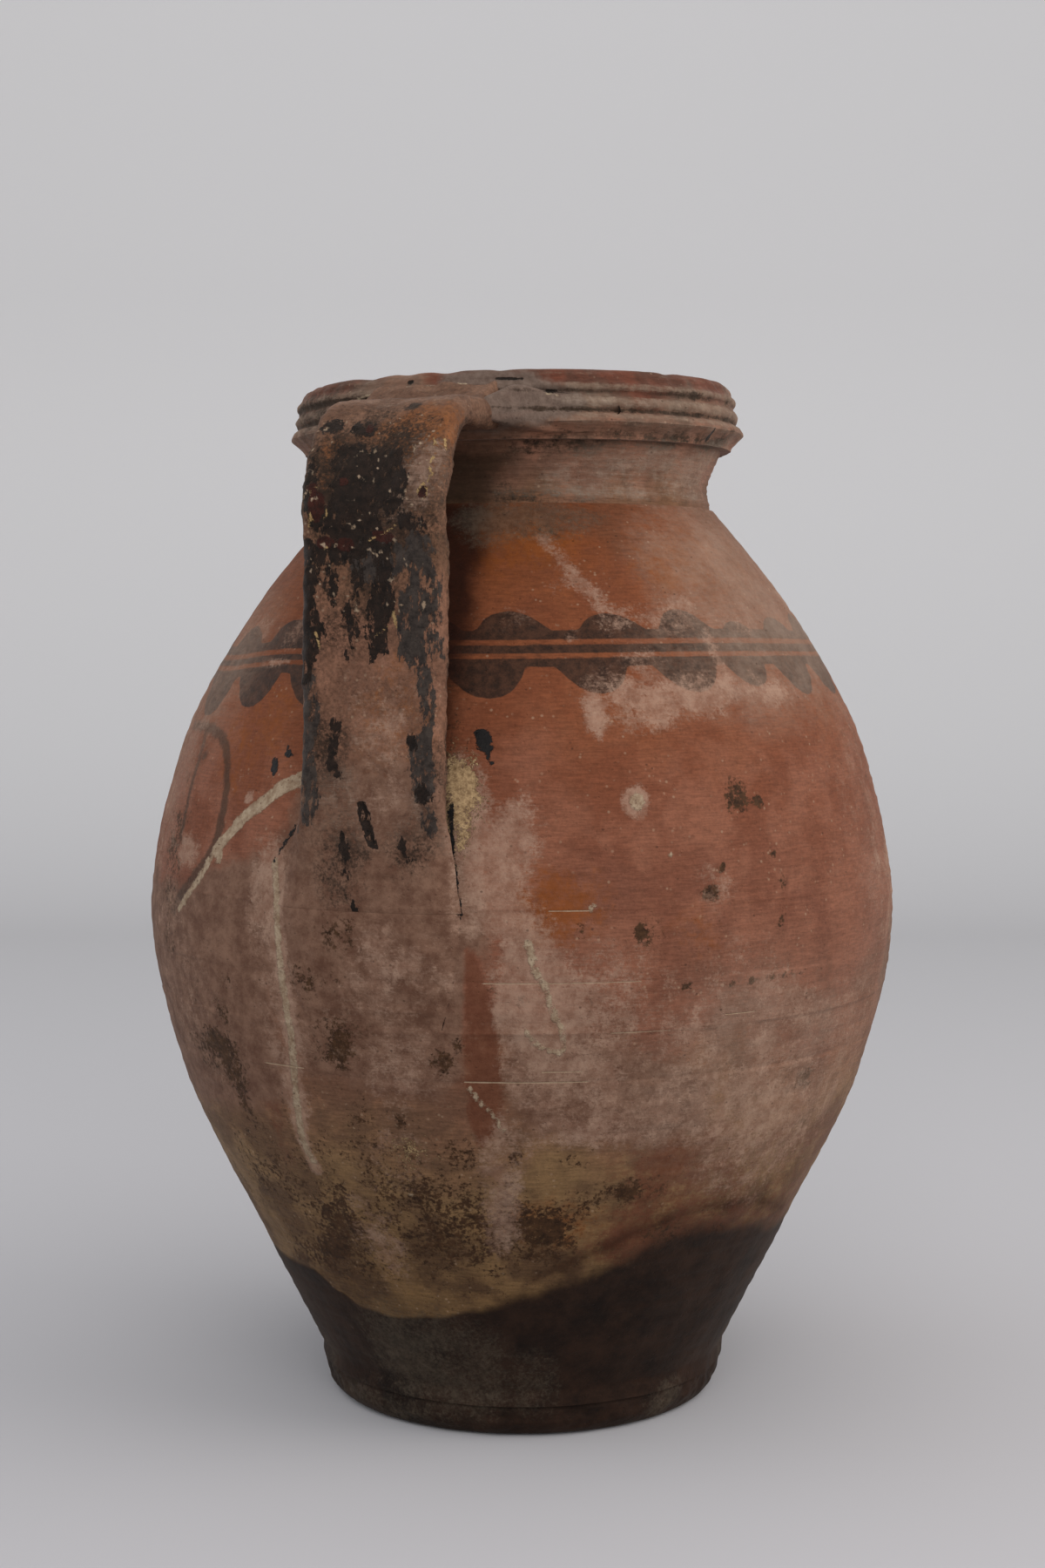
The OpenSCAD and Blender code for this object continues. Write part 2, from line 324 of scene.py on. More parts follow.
@dataclass(frozen=True)
class Patch:
    """An area with a closed outline through some places."""

    points: tuple
    full: float = 1.0
    soft: float = 1.0

    def depth(self, skin: Skin) -> np.ndarray:
        """Returns the distance in mm inside the outline, which is negative outside it."""
        inside = np.zeros(len(skin.first), dtype=bool)
        gap = np.full(len(skin.first), -FAR)
        for i, point in enumerate(self.points):
            ax, ay = skin.offset(point)
            bx, by = skin.offset(self.points[(i + 1) % len(self.points)])
            dx, dy = bx - ax, by - ay
            t = np.clip(-(ax * dx + ay * dy) / np.maximum(dx * dx + dy * dy, 1e-6), 0, 1)
            gap = np.minimum(gap, np.hypot(ax + t * dx, ay + t * dy))
            level = np.where(np.abs(dy) < 1e-9, 1e-9, dy)
            inside ^= ((ay > 0) != (by > 0)) & (ax - ay * dx / level > 0)
        return np.where(inside, gap, -gap)


@dataclass(frozen=True)
class Spot:
    """An oval mark: its place, its half sizes in mm and its turn in degrees."""

    first: float
    second: float
    across: float
    along: float
    turn: float = 0.0
    full: float = 1.0
    soft: float = 1.0

    def depth(self, skin: Skin) -> np.ndarray:
        """Returns about how far in mm each point lies inside the oval."""
        dx, dy = skin.offset((self.first, self.second))
        angle = math.radians(self.turn)
        u = (dx * math.cos(angle) + dy * math.sin(angle)) / self.across
        v = (dy * math.cos(angle) - dx * math.sin(angle)) / self.along
        return (1 - np.hypot(u, v)) * min(self.across, self.along)


def reach_of(mark) -> tuple:
    """Finds the middle of a mark and how far it spreads in the second direction and the first.

    Args:
        mark: A run, patch or spot.

    Returns:
        The lowest and highest values in the first direction, then in the second.
    """
    if isinstance(mark, Spot):
        spread = max(mark.across, mark.along)
        return mark.first, mark.first, mark.second - spread, mark.second + spread, spread
    firsts = [p[0] for p in mark.points]
    seconds = [p[1] for p in mark.points]
    return min(firsts), max(firsts), min(seconds), max(seconds), getattr(mark, "start", 0.0)


def depth_of(marks: tuple, skin: Skin) -> np.ndarray:
    """Depth inside the nearest of some marks.

    Args:
        marks: The marks.
        skin: Where the points lie.

    Returns:
        Distance in mm inside the marks' common outline, negative outside it.
    """
    total = np.full(len(skin.first), FAR)
    for mark in marks:
        keep = near(mark, skin)
        if keep.any():
            total[keep] = np.maximum(total[keep], mark.depth(skin.part(keep)))
    return total


def near(mark, skin: Skin) -> np.ndarray:
    """Picks the points of a skin that a mark may reach.

    Args:
        mark: A run, patch or spot.
        skin: Where the points lie.

    Returns:
        True for each point near the mark.
    """
    low, high, under, over, spread = reach_of(mark)
    room = spread - FAR
    middle, half = (low + high) / 2, (high - low) / 2
    gap = middle - skin.first
    if skin.round_jar:
        gap = wrap(gap)
    return ((np.maximum(np.abs(gap) - half, 0) * skin.scale < room)
            & (skin.second > under - room) & (skin.second < over + room))


def cover_of(marks: tuple, skin: Skin) -> np.ndarray:
    """Soft cover by some marks, each with its own strength and softness.

    Args:
        marks: The marks.
        skin: Where the points lie.

    Returns:
        Cover from 0 to 1 at each point.
    """
    bare = np.ones(len(skin.first))
    for mark in marks:
        keep = near(mark, skin)
        if keep.any():
            depth = mark.depth(skin.part(keep))
            bare[keep] *= 1 - mark.full * smooth(-1.7 * mark.soft, 1.7 * mark.soft, depth)
    return 1 - bare


@dataclass(frozen=True)
class WaveBand:
    """Painted band on the shoulder: two reserved lines with scallops above and lobes below."""

    upper_line: tuple = ((-50, 351.8), (-25, 355.2), (10, 358.9), (60, 360.0), (100, 359.0), (180, 355.0),
                         (270, 351.0))
    lower_line: tuple = ((-50, 346.8), (-25, 350.2), (10, 353.2), (60, 354.2), (100, 353.5), (180, 349.5),
                         (270, 346.0))
    line_half: float = 1.05
    over: float = 4.6
    under: float = 4.1
    scallop_outline: tuple = ((0, 0), (0.03, 0.3), (0.09, 0.62), (0.18, 0.85), (0.31, 0.98), (0.44, 1),
                              (0.57, 0.9), (0.7, 0.7), (0.83, 0.4), (0.94, 0.14), (1, 0))
    lobe_outline: tuple = ((0, 0), (0.09, 0.2), (0.2, 0.48), (0.33, 0.76), (0.47, 0.94), (0.6, 1),
                           (0.74, 0.95), (0.86, 0.78), (0.94, 0.5), (0.985, 0.25), (1, 0))
    scallops: tuple = ((-50.5, -36.2, 10.3), (-34.8, -19.6, 10.2), (-4.0, 11.6, 9.4), (12.2, 27.6, 9.5),
                       (31.0, 45.7, 8.2), (46.7, 60.0, 9.8), (61.5, 70.8, 4.6), (73.8, 87.6, 7.0))
    lobes: tuple = ((-55.5, -40.9, 18.0), (-40.4, -26.2, 15.5), (-24.6, -9.5, 16.0), (6.2, 21.4, 14.0),
                    (25.6, 38.9, 12.3), (42.7, 56.4, 12.6), (57.7, 68.6, 10.6), (70.8, 83.9, 14.6),
                    (85.0, 98.6, 14.8))
    hidden_to: float = 307.0
    hidden_pitch: float = 15.4

    def shapes(self, known: tuple, outline: tuple, line: tuple, gap: float, way: int) -> list:
        """Lays out one row of scallops or lobes.

        Args:
            known: Start, end and height of each listed shape.
            outline: Outline of a shape in shares of its length and height.
            line: The reserved line that the row stands on.
            gap: Distance in mm from the line to the row.
            way: 1 for a row that rises and -1 for one that hangs.

        Returns:
            A patch for each shape.
        """
        draw = random.Random(17 + way)
        rows = list(known)
        start = max(row[1] for row in known) + 1.0
        while start + self.hidden_pitch < self.hidden_to:
            size = self.hidden_pitch * draw.uniform(0.86, 0.98)
            rows.append((start, start + size, draw.uniform(8.4, 10.2) if way > 0 else draw.uniform(12.5, 15.5)))
            start += self.hidden_pitch
        patches = []
        for first, last, size in rows:
            level = float(follow(line, np.array([(first + last) / 2]))[0])
            rim = [(first + (last - first) * u, level + way * (gap + (size - gap + 4.0) * v * 0.98))
                   for u, v in outline]
            foot = [(last, level), (first, level)]
            patches.append(Patch(tuple(rim + foot)))
        return patches

    def depth(self, skin: Skin) -> np.ndarray:
        """Returns the depth in mm inside the painted slip."""
        upper = follow(self.upper_line, skin.first)
        lower = follow(self.lower_line, skin.first)
        rise = (skin.second - upper) * skin.stretch
        drop = (skin.second - lower) * skin.stretch
        band = np.minimum(self.over * 1.3 - rise, drop + self.under * 1.3)
        marks = (self.shapes(self.scallops, self.scallop_outline, self.upper_line, 3.0, 1)
                 + self.shapes(self.lobes, self.lobe_outline, self.lower_line, 3.0, -1))
        paint = np.maximum(np.maximum(band, FAR), depth_of(tuple(marks), skin))
        lines = np.maximum(self.line_half * 1.3 - np.abs(rise), self.line_half * 1.2 - np.abs(drop))
        return np.minimum(paint, -lines)


@dataclass(frozen=True)
class WallMarks:
    """Marks on the wall: freehand loop, runs, lime, stains, drips and the dipped foot."""

    loop: tuple = (
        Run(((-53, 320.5), (-46, 321), (-41, 320), (-37, 317.5), (-34, 313), (-32, 306), (-30.6, 297),
             (-30, 288), (-29.9, 279), (-30.4, 270), (-32.4, 262), (-35, 255), (-38, 248), (-42, 239)),
            2.2, 3.2),
        Run(((-43.5, 319), (-42.3, 312), (-42, 300), (-41.9, 286), (-41.8, 271)), 1.6, 2.0),
        Spot(-40.4, 308.5, 2.6, 2.4),
        Spot(-43, 267.5, 2.6, 1.2),
    )
    lime: tuple = (
        Run(((-13.8, 301.5), (-17.5, 297), (-20.4, 291), (-24, 284.5), (-27.5, 275), (-30.2, 268)), 3.3, 2.8),
        Run(((-31, 264), (-33, 256), (-36, 248), (-39.5, 240)), 1.9, 1.7),
        Run(((-16.4, 266), (-15.4, 250), (-14.9, 233), (-14.3, 210), (-13.9, 192), (-15.0, 168),
             (-16.6, 143), (-15.6, 134)), 1.7, 1.9),
        Spot(37.4, 293.2, 3.4, 3.6),
        Run(((21.6, 236), (22.6, 224), (23.8, 219), (25.0, 207), (26.3, 200), (26.6, 191)), 1.7, 1.1),
        Run(((21.4, 199), (22.6, 193.5), (24.4, 190.5), (26.4, 189.5)), 1.0, 1.1),
        Spot(30.3, 250.5, 1.6, 1.8),
        Spot(-28.7, 265.5, 2.4, 3.2),
        Run(((13.4, 173.5), (15.0, 166.5), (16.2, 164), (17.6, 157), (18.6, 154)), 1.1, 0.8),
        
        Spot(41.7, 271.2, 1.2, 1.2),
        Spot(2.0, 123.0, 1.6, 1.0),
    )
    # The two patches darken the wall behind each strap: painted shade under the strap. The run is a real dark halo
    # along the top of the dipped foot.
    shade_and_grime: tuple = (
        Patch(((-7, 424), (11, 424), (12.5, 400), (11.6, 372), (10.8, 345), (9.8, 322), (8.6, 302), (7, 292),
               (-7, 292), (-8.4, 330))),
        Patch(((170, 421), (190, 421), (190, 330), (188, 292), (172, 292), (170, 330))),
        Run(((24, 84), (34, 95), (44, 106), (56, 112), (70, 108), (84, 98)), 0.6, 1.6),
    )
    smear: tuple = (
        Patch(((-10.5, 312), (10.8, 312), (13.5, 285), (14.5, 262), (16.5, 240), (14.5, 205), (12.8, 180),
               (6, 166), (-4, 172), (-13, 178), (-17.5, 200), (-20, 228), (-19, 252), (-16, 276))),
        Patch(((-121, 205), (-108, 232), (-90, 238), (-76, 256), (-62, 262), (-50, 250), (-36, 250), (-30, 262),
               (-20, 268), (-16, 262), (-16, 160), (-44, 148), (-70, 160), (-92, 152), (-110, 178))),
        Patch(((96, 232), (112, 240), (126, 226), (150, 214), (148, 190), (126, 170), (104, 178), (92, 204))),
        Patch(((208, 218), (222, 232), (236, 214), (232, 186), (214, 176), (204, 196))),
        Patch(((18, 200), (26, 196), (40, 186), (50, 176), (50, 150), (36, 148), (22, 154), (18.5, 176))),
        Patch(((169.5, 312), (190.8, 312), (194, 276), (196, 245), (193, 205), (186, 168), (174, 172),
               (166, 200), (162, 240), (166, 276))),
    )
    scars: tuple = (
        Run(((12.6, 176.6), (30.6, 176.6)), 0.32, 0.26),
        Run(((-20.4, 177.8), (-12.6, 177.8)), 0.3, 0.24),
        Run(((15.2, 219.2), (37.5, 219.2)), 0.2, 0.14),
        Run(((33.2, 197.6), (42.0, 197.6)), 0.24, 0.16),
        Run(((23.4, 181.2), (29.6, 181.2)), 0.26, 0.2),
        Run(((50.4, 202.5), (56.0, 202.5)), 0.2, 0.16),
        Run(((24.0, 249.2), (30.3, 249.2)), 0.24, 0.24),
    )
    tar: tuple = (
        Spot(15.1, 318.6, 3.4, 5.4, 8), Spot(14.2, 321.6, 2.2, 1.8), Spot(16.0, 314.8, 1.5, 3.0, -14),
        Spot(15.7, 311.4, 0.7, 1.9), Spot(16.4, 309.4, 1.2, 1.1), Spot(12.7, 317.0, 0.9, 0.9),
        Spot(12.8, 314.8, 0.6, 0.7), Spot(-20.0, 305.6, 2.1, 4.2, 10), Spot(-17.7, 311.4, 2.2, 1.9),
        Spot(-18.2, 313.8, 0.8, 1.6), Spot(-16.8, 310.8, 1.2, 0.6),
        Spot(-12.0, 284.0, 1.0, 2.0),
        # These two runs darken the slits along the edges of the strap's foot: painted shade in the crease between
        # strap and wall.
        Run(((-13.4, 281), (-14.8, 275), (-16.8, 265.5)), 1.0, 0.5),
        Run(((10.7, 292), (10.9, 280), (11.4, 268), (12.0, 256), (12.6, 247)), 1.3, 1.15),
    )
    cream: tuple = (
        Spot(12.6, 297, 5.6, 13, full=0.8, soft=3), Spot(12.4, 279, 4.5, 10, full=0.55, soft=3),
        Spot(10.4, 302, 3.0, 15, full=0.5, soft=2), Spot(15.0, 289, 3, 7, full=0.4, soft=2),
        Spot(4, 142, 10, 12, full=0.3, soft=5),
    )
    haze: tuple = (
        Spot(21, 415, 22, 6, full=0.75, soft=5), Spot(13, 409, 12, 10, full=0.7, soft=6),
        Spot(29, 409, 10, 6, full=0.5, soft=5), Spot(34, 415, 14, 3, full=0.4, soft=3),
        Spot(-4, 40, 34, 30, full=0.5, soft=12), Spot(-9, 40, 9, 14, full=0.55, soft=6), Spot(25, 28, 8, 14, full=0.5, soft=6),
        Spot(-30, 10, 16, 5, full=0.6, soft=3), Spot(-16, 6, 9, 4, full=0.5, soft=3),
        Spot(12, 32, 5, 16, full=0.35, soft=5), Spot(64, 12, 10, 8, full=0.6, soft=4),
        Spot(-48, 24, 12, 12, full=0.35, soft=6), Spot(100, 30, 12, 16, full=0.4, soft=8),
        Spot(180, 26, 14, 16, full=0.4, soft=8), Spot(240, 34, 14, 20, full=0.4, soft=8),
    )
    clean: tuple = (
        Patch(((13.0, 236), (14.6, 232), (16.2, 218), (17.4, 196), (18.0, 172), (17.0, 158), (14.6, 146),
               (13.2, 160), (13.4, 176), (12.8, 192), (13.2, 214)), full=0.85, soft=1.8),
    )
    soil: tuple = (
        Spot(-35.5, 181, 14, 8, full=0.45, soft=5), Spot(-29.5, 190, 9, 10, full=0.45, soft=5),
        Spot(-27.2, 172, 5, 16, full=0.42, soft=4), Spot(-28.5, 152, 3.5, 14, full=0.39, soft=4),
        Spot(-16, 118, 9, 20, full=0.25, soft=9), Spot(-24, 84, 26, 9, 6, full=0.4, soft=7),
        Spot(-5, 122, 5, 18, full=0.25, soft=5), Spot(-3.5, 160, 6, 6, full=0.45, soft=4),
        Spot(2.4, 159, 5, 4, full=0.66, soft=3), Spot(-6.5, 190, 7, 8, full=0.38, soft=5),
        Spot(9.6, 184, 4, 5, full=0.81, soft=3), Spot(8, 112, 11, 18, full=0.1, soft=8),
        Spot(13, 127, 9, 9, full=0.25, soft=6), Spot(12, 143, 7, 6, full=0.45, soft=5),
        Spot(19.6, 143, 3.2, 3.4, full=0.85, soft=2), Spot(23.5, 108, 11, 9, full=0.42, soft=6),
        Spot(33.5, 124, 13, 5, full=0.42, soft=5), Spot(38, 126, 5, 5, full=0.52, soft=3),
        Spot(6, 88, 14, 14, full=0.1, soft=9), Spot(16, 80, 16, 14, full=0.1, soft=9),
        Spot(30, 103, 14, 9, full=0.12, soft=8), Spot(28, 141, 9, 4, full=0.45, soft=4),
        Spot(66, 166, 13, 8, full=0.38, soft=6), Spot(70, 168, 4, 4, full=0.76, soft=3),
        Spot(62, 221, 12, 4, full=0.33, soft=4), Spot(62.8, 217, 20, 0.8, full=0.5, soft=1),
        Spot(59.9, 240.5, 1.8, 4.4, full=0.81, soft=1.6), Spot(60.4, 255.5, 2.0, 3.6, full=0.76, soft=1.6),
        Spot(59.0, 268.8, 1.3, 1.4, full=0.85, soft=1), Spot(57.8, 291.2, 3.2, 2.3, full=0.81, soft=1.5),
        Spot(53.6, 293.4, 6.0, 8.0, full=0.6, soft=2), Spot(49.6, 264.8, 1.6, 1.6, full=0.85, soft=1),
        Spot(47.6, 254.4, 3.4, 2.6, full=0.81, soft=2), Spot(28.8, 241.0, 1.6, 4.0, full=0.81, soft=1.6),
        Spot(38.0, 237.5, 9, 8, full=0.28, soft=6), Spot(37.0, 240.0, 3, 2, full=0.76, soft=1.5),
        Spot(43.6, 216.2, 3.0, 1.6, full=0.85, soft=1.2), Spot(51.4, 216.2, 1.6, 1.3, full=0.85, soft=1),
        Spot(54.6, 215.8, 1.8, 2.0, full=0.66, soft=1), Spot(30.5, 212.5, 4.5, 5.5, full=0.39, soft=4),
        Spot(20.8, 212, 3, 3, full=0.57, soft=2), Spot(16.5, 216, 3, 3, full=0.57, soft=2),
        Spot(44, 185, 6, 10, full=0.2, soft=6), Spot(49, 150, 12, 6, full=0.23, soft=5),
        Spot(12.2, 193, 2.2, 3.5, full=0.57, soft=1.5), Spot(60, 100, 40, 8, 4, full=0.3, soft=7),
        # The spots at bearings -11.5, 9.8 and 10.2 darken the wall along the strap's sides: some dirt, some painted
        # shade beside the strap.
        Spot(-11.5, 292, 4, 14, full=0.35, soft=4), Spot(9.8, 318, 4, 22, full=0.42, soft=5),
        Spot(10.2, 296, 3, 16, full=0.52, soft=3), Spot(-40, 294, 12, 18, full=0.17, soft=8),
        Spot(-44, 286, 9, 24, full=0.34, soft=6), Spot(-44, 250, 10, 18, full=0.28, soft=7), Spot(-36, 150, 5, 30, full=0.2, soft=6),
        Spot(21, 412, 12, 4, full=0.22, soft=4), Spot(27, 407, 5, 3, full=0.3, soft=3),
        Spot(-10, 218, 10, 6, full=0.5, soft=4),
        Spot(-25, 212, 6, 4, full=0.5, soft=3), Spot(-2, 240, 12, 6, full=0.35, soft=5),
        Spot(-33, 184, 7, 4, full=0.8, soft=2.5), Spot(-30.5, 176, 3, 8, full=0.8, soft=2),
        Spot(-6, 190, 4.5, 5, full=0.7, soft=3), Spot(-30, 178, 12, 12, full=0.4, soft=6),
        Spot(4, 106, 60, 44, full=0.36, soft=16), Spot(-34, 118, 40, 44, full=0.24, soft=14),
        Spot(-8, 185, 46, 60, full=0.16, soft=16), Spot(-42, 210, 30, 50, full=0.22, soft=14),
        Spot(8, 120, 12, 16, full=0.1, soft=8), Spot(11, 98, 12, 9, full=0.12, soft=7),
        Spot(24, 112, 12, 8, full=0.16, soft=6), Spot(33, 122, 12, 6, full=0.4, soft=4),
        Spot(-17, 100, 4, 34, full=0.3, soft=4), Spot(-12, 108, 3, 26, full=0.3, soft=3),
        Spot(2, 80, 30, 8, full=0.12, soft=6), Spot(48, 103, 9, 9, full=0.4, soft=6), Spot(44, 130, 8, 14, full=0.23, soft=6),
    )
    warm: tuple = (
        Spot(25.6, 252, 17, 14, full=0.8, soft=7), 
        Spot(33, 167, 10, 14, full=0.35, soft=8), Spot(26, 108, 22, 14, full=0.35, soft=10),
        Spot(-26, 322, 22, 26, full=0.5, soft=12), Spot(20, 408, 16, 10, full=0.3, soft=8),
        Spot(53, 386.5, 6.5, 6.0, full=0.55, soft=2.5), Spot(16, 404, 30, 16, full=0.35, soft=10),
        Spot(46, 238, 14, 10, full=0.25, soft=8), Spot(64, 396, 40, 18, full=0.35, soft=12),
    )
    rose: tuple = (
        Spot(44.0, 131, 8, 14, full=0.8, soft=5), Spot(60, 96, 32, 7, full=0.5, soft=6),
        Patch(((33, 150), (38, 120), (32, 98), (44, 84), (95, 84), (95, 150), (60, 150)), full=0.5, soft=8),
        Spot(12.0, 186, 4.0, 12, full=0.3, soft=3), Spot(-21.5, 170, 5, 34, full=0.4, soft=4),
    )
    bloom: tuple = (
        Spot(92, 250, 50, 110, full=0.2, soft=26),
        Spot(-44, 210, 40, 60, full=0.25, soft=22), Spot(-60, 330, 50, 60, full=0.3, soft=20),
        Run(((-16.2, 268), (-15.2, 250), (-14.8, 233), (-14.2, 210), (-13.8, 192), (-15.0, 168),
             (-16.6, 143), (-15.6, 130)), 2.6, 3.2, full=0.95, soft=1.5),
        Spot(37.4, 293.2, 6.0, 6.4, full=0.7, soft=2.0),
        Run(((25.5, 404), (29, 395), (33, 385), (36, 375), (38, 366)), 3.0, 5.0, full=0.55, soft=3),
        Spot(44, 371, 10, 5, full=0.4, soft=4),
        Spot(52, 376, 9, 5, full=0.45, soft=4), Spot(58, 391, 10, 5, full=0.25, soft=5),
        Spot(27.5, 383, 6, 5, full=0.25, soft=3),
        Spot(44, 336, 28, 10, full=0.48, soft=6), Spot(51.5, 336.5, 13, 6, full=0.6, soft=4),
        Spot(32.2, 328.5, 4.0, 9, full=0.85, soft=2.2), Spot(38.5, 330, 14, 8, full=0.48, soft=4),
        Spot(60, 338, 24, 6, full=0.5, soft=4), Spot(67, 338, 16, 6, full=0.45, soft=4),
        Spot(42, 353, 9, 5, full=0.5, soft=3), Spot(51, 366, 9, 5, full=0.5, soft=4),
        Spot(51, 342, 12, 8, full=0.5, soft=4), Spot(57.2, 354, 2.5, 12, full=0.8, soft=2),
        Spot(66, 366, 8, 4, full=0.6, soft=3), Spot(63.5, 346, 4, 4, full=0.6, soft=3),
        Spot(18, 368, 12, 6, full=0.32, soft=5), Spot(37, 365, 9, 7, full=0.35, soft=4),
        Spot(29.6, 361.5, 5, 3, full=0.7, soft=2), Spot(34.5, 343, 12, 8, full=0.3, soft=5),
        Spot(16.8, 270, 3.4, 5, full=1.0, soft=1.2), Spot(-38.5, 266, 9, 5, full=0.6, soft=3),
        Spot(70, 170, 40, 40, full=0.3, soft=12), Spot(13.2, 292, 8, 20, full=0.85, soft=4), Spot(16.5, 262, 14, 19, full=0.8, soft=6),
        Spot(20.4, 283, 9, 12, full=0.5, soft=5), Spot(22.0, 226, 12, 20, full=0.75, soft=7),
        Spot(24.0, 203, 17, 20, full=0.8, soft=7), Spot(33, 207, 26, 28, full=0.35, soft=10),
        Spot(17.5, 205, 7, 16, full=0.6, soft=4), Spot(27, 178, 32, 22, full=0.4, soft=10),
        Spot(48.5, 258, 9, 9, full=0.35, soft=5), Spot(54, 190, 34, 40, full=0.35, soft=12),
        Spot(44, 158, 26, 12, full=0.4, soft=7), Spot(26, 152, 26, 7, full=0.5, soft=5),
        Spot(64, 140, 40, 34, full=0.3, soft=12), Spot(6, 228, 26, 22, full=0.25, soft=10),
        Spot(0, 200, 30, 30, full=0.2, soft=10), Spot(21, 232, 6, 12, full=0.6, soft=4),
        Spot(23, 208, 8, 14, full=0.5, soft=5), Spot(-17.5, 255, 11, 22, full=0.65, soft=5),
        Spot(-16, 200, 12, 30, full=0.4, soft=7), Spot(-15.5, 165, 8, 18, full=0.5, soft=5),
        Spot(17.5, 125, 8, 26, full=0.6, soft=5), Spot(-44, 365, 9, 5, full=0.5, soft=4),
        Spot(-28, 362, 8, 7, full=0.5, soft=4), Spot(-28, 350.5, 9, 2.2, full=0.7, soft=2),
        Spot(-40, 266, 12, 5, full=0.4, soft=4), Spot(-24, 292.4, 2.5, 2.5, full=0.8, soft=1),
        Spot(-27, 300, 4, 2, full=0.5, soft=2), Spot(-7, 100, 12, 26, full=0.3, soft=8),
        Spot(0, 140, 16, 16, full=0.3, soft=8), Spot(4, 175, 14, 16, full=0.35, soft=8),
    )
    # Pale haze near the jar's flanks, where the wall turns away: partly lime dust, partly a painted sheen.
    dust_and_sheen: tuple = (
        Spot(88, 384, 54, 46, full=0.85, soft=16), Spot(62, 388, 26, 30, full=0.5, soft=14),
        Spot(64, 350, 46, 26, full=0.45, soft=12), Spot(94, 270, 44, 120, full=0.15, soft=24),
        Spot(-52, 340, 40, 50, full=0.45, soft=18), Spot(60, 170, 60, 46, full=0.35, soft=20),
    )
    dip_line: tuple = ((-140, 84), (-90, 80), (-60, 76), (-36.4, 73.5), (-30, 73.8), (-23.3, 65.3),
                       (-17.4, 59.6), (-10.4, 57.8), (1.6, 60.6), (10.9, 66.3), (22, 74.6), (31.9, 82.3),
                       (40, 90.5), (47.3, 100), (55, 103), (69, 99), (84, 90), (120, 84), (170, 72))
    dip_edge: tuple = ((-60, 2.0), (-20, 1.0), (4, 1.4), (20, 4.0), (40, 6.0), (60, 7.0), (100, 5.0), (180, 2.5))

    def dip_depth(self, skin: Skin) -> np.ndarray:
        """Returns the depth below the dip line, in widths of its edge."""
        drop = (follow(self.dip_line, skin.first) - skin.second) * skin.stretch
        return drop / follow(self.dip_edge, skin.first)

    def scattered(self, seed: int, count: int, low: float, high: float, size: tuple, full: tuple) -> tuple:
        """Scatters spots over the side that faces away from the front.

        Args:
            seed: Seed of the scatter.
            count: How many spots.
            low: Lowest height.
            high: Highest height.
            size: Smallest and largest half size in mm.
            full: Least and greatest strength.

        Returns:
            The spots.
        """
        draw = random.Random(seed)
        spots = []
        for _ in range(count):
            across = draw.uniform(*size)
            bearing, level = draw.uniform(92, 302), draw.uniform(low, high)
            for _ in range(3):
                spots.append(Spot(bearing + draw.gauss(0, 0.3) * across, level + draw.gauss(0, 0.6) * across,
                                  across * draw.uniform(0.3, 1.0), across * draw.uniform(0.3, 1.2),
                                  draw.uniform(-40, 40), draw.uniform(*full), across * 0.45))
        return tuple(spots)

    def values(self, skin: Skin) -> dict:
        """Every value that the wall's material reads.

        Args:
            skin: Where the points lie.

        Returns:
            A value for each point, by layer.
        """
        hidden_bloom = self.scattered(31, 34, 150, 400, (6, 26), (0.15, 0.5))
        hidden_soil = self.scattered(32, 40, 80, 330, (1.5, 10), (0.3, 0.75))
        bare = cover_of(self.clean, skin)
        slip = WaveBand().depth(skin)
        return {
            Layer.SMEAR: depth_of(self.smear, skin) - 16 * bare,
            Layer.CREAM: cover_of(self.cream, skin),
            Layer.HAZE: cover_of(self.haze, skin),
            Layer.SHADE_AND_GRIME: depth_of(self.shade_and_grime, skin),
            Layer.SLIP: slip,
            Layer.LOOP: depth_of(self.loop, skin),
            Layer.LIME: depth_of(self.lime, skin),
            Layer.SCAR: depth_of(self.scars, skin),
            Layer.TAR: depth_of(self.tar, skin),
            Layer.SOIL: cover_of(self.soil + hidden_soil, skin) * 0.8 * (1 - 0.6 * bare),
            Layer.WARM: cover_of(self.warm, skin),
            Layer.ROSE: np.maximum(cover_of(self.rose, skin), bare),
            Layer.BLOOM: (cover_of(self.bloom + hidden_bloom, skin) * (1 - 0.85 * bare)
                          * (1 - 0.45 * smooth(-0.6, 0.8, slip))),
            Layer.DUST_AND_SHEEN: cover_of(self.dust_and_sheen, skin),
            Layer.DIP: self.dip_depth(skin),
        }


def tone(code: str) -> tuple:
    """Turns a colour written as six hex digits into the linear colour that a shader takes.

    Args:
        code: Red, green and blue as seen on a screen, two hex digits each.

    Returns:
        Linear red, green, blue and an alpha of 1.
    """
    parts = [int(code[i:i + 2], 16) / 255 for i in (0, 2, 4)]
    return tuple(p / 12.92 if p <= 0.04045 else ((p + 0.055) / 1.055) ** 2.4 for p in parts) + (1.0,)


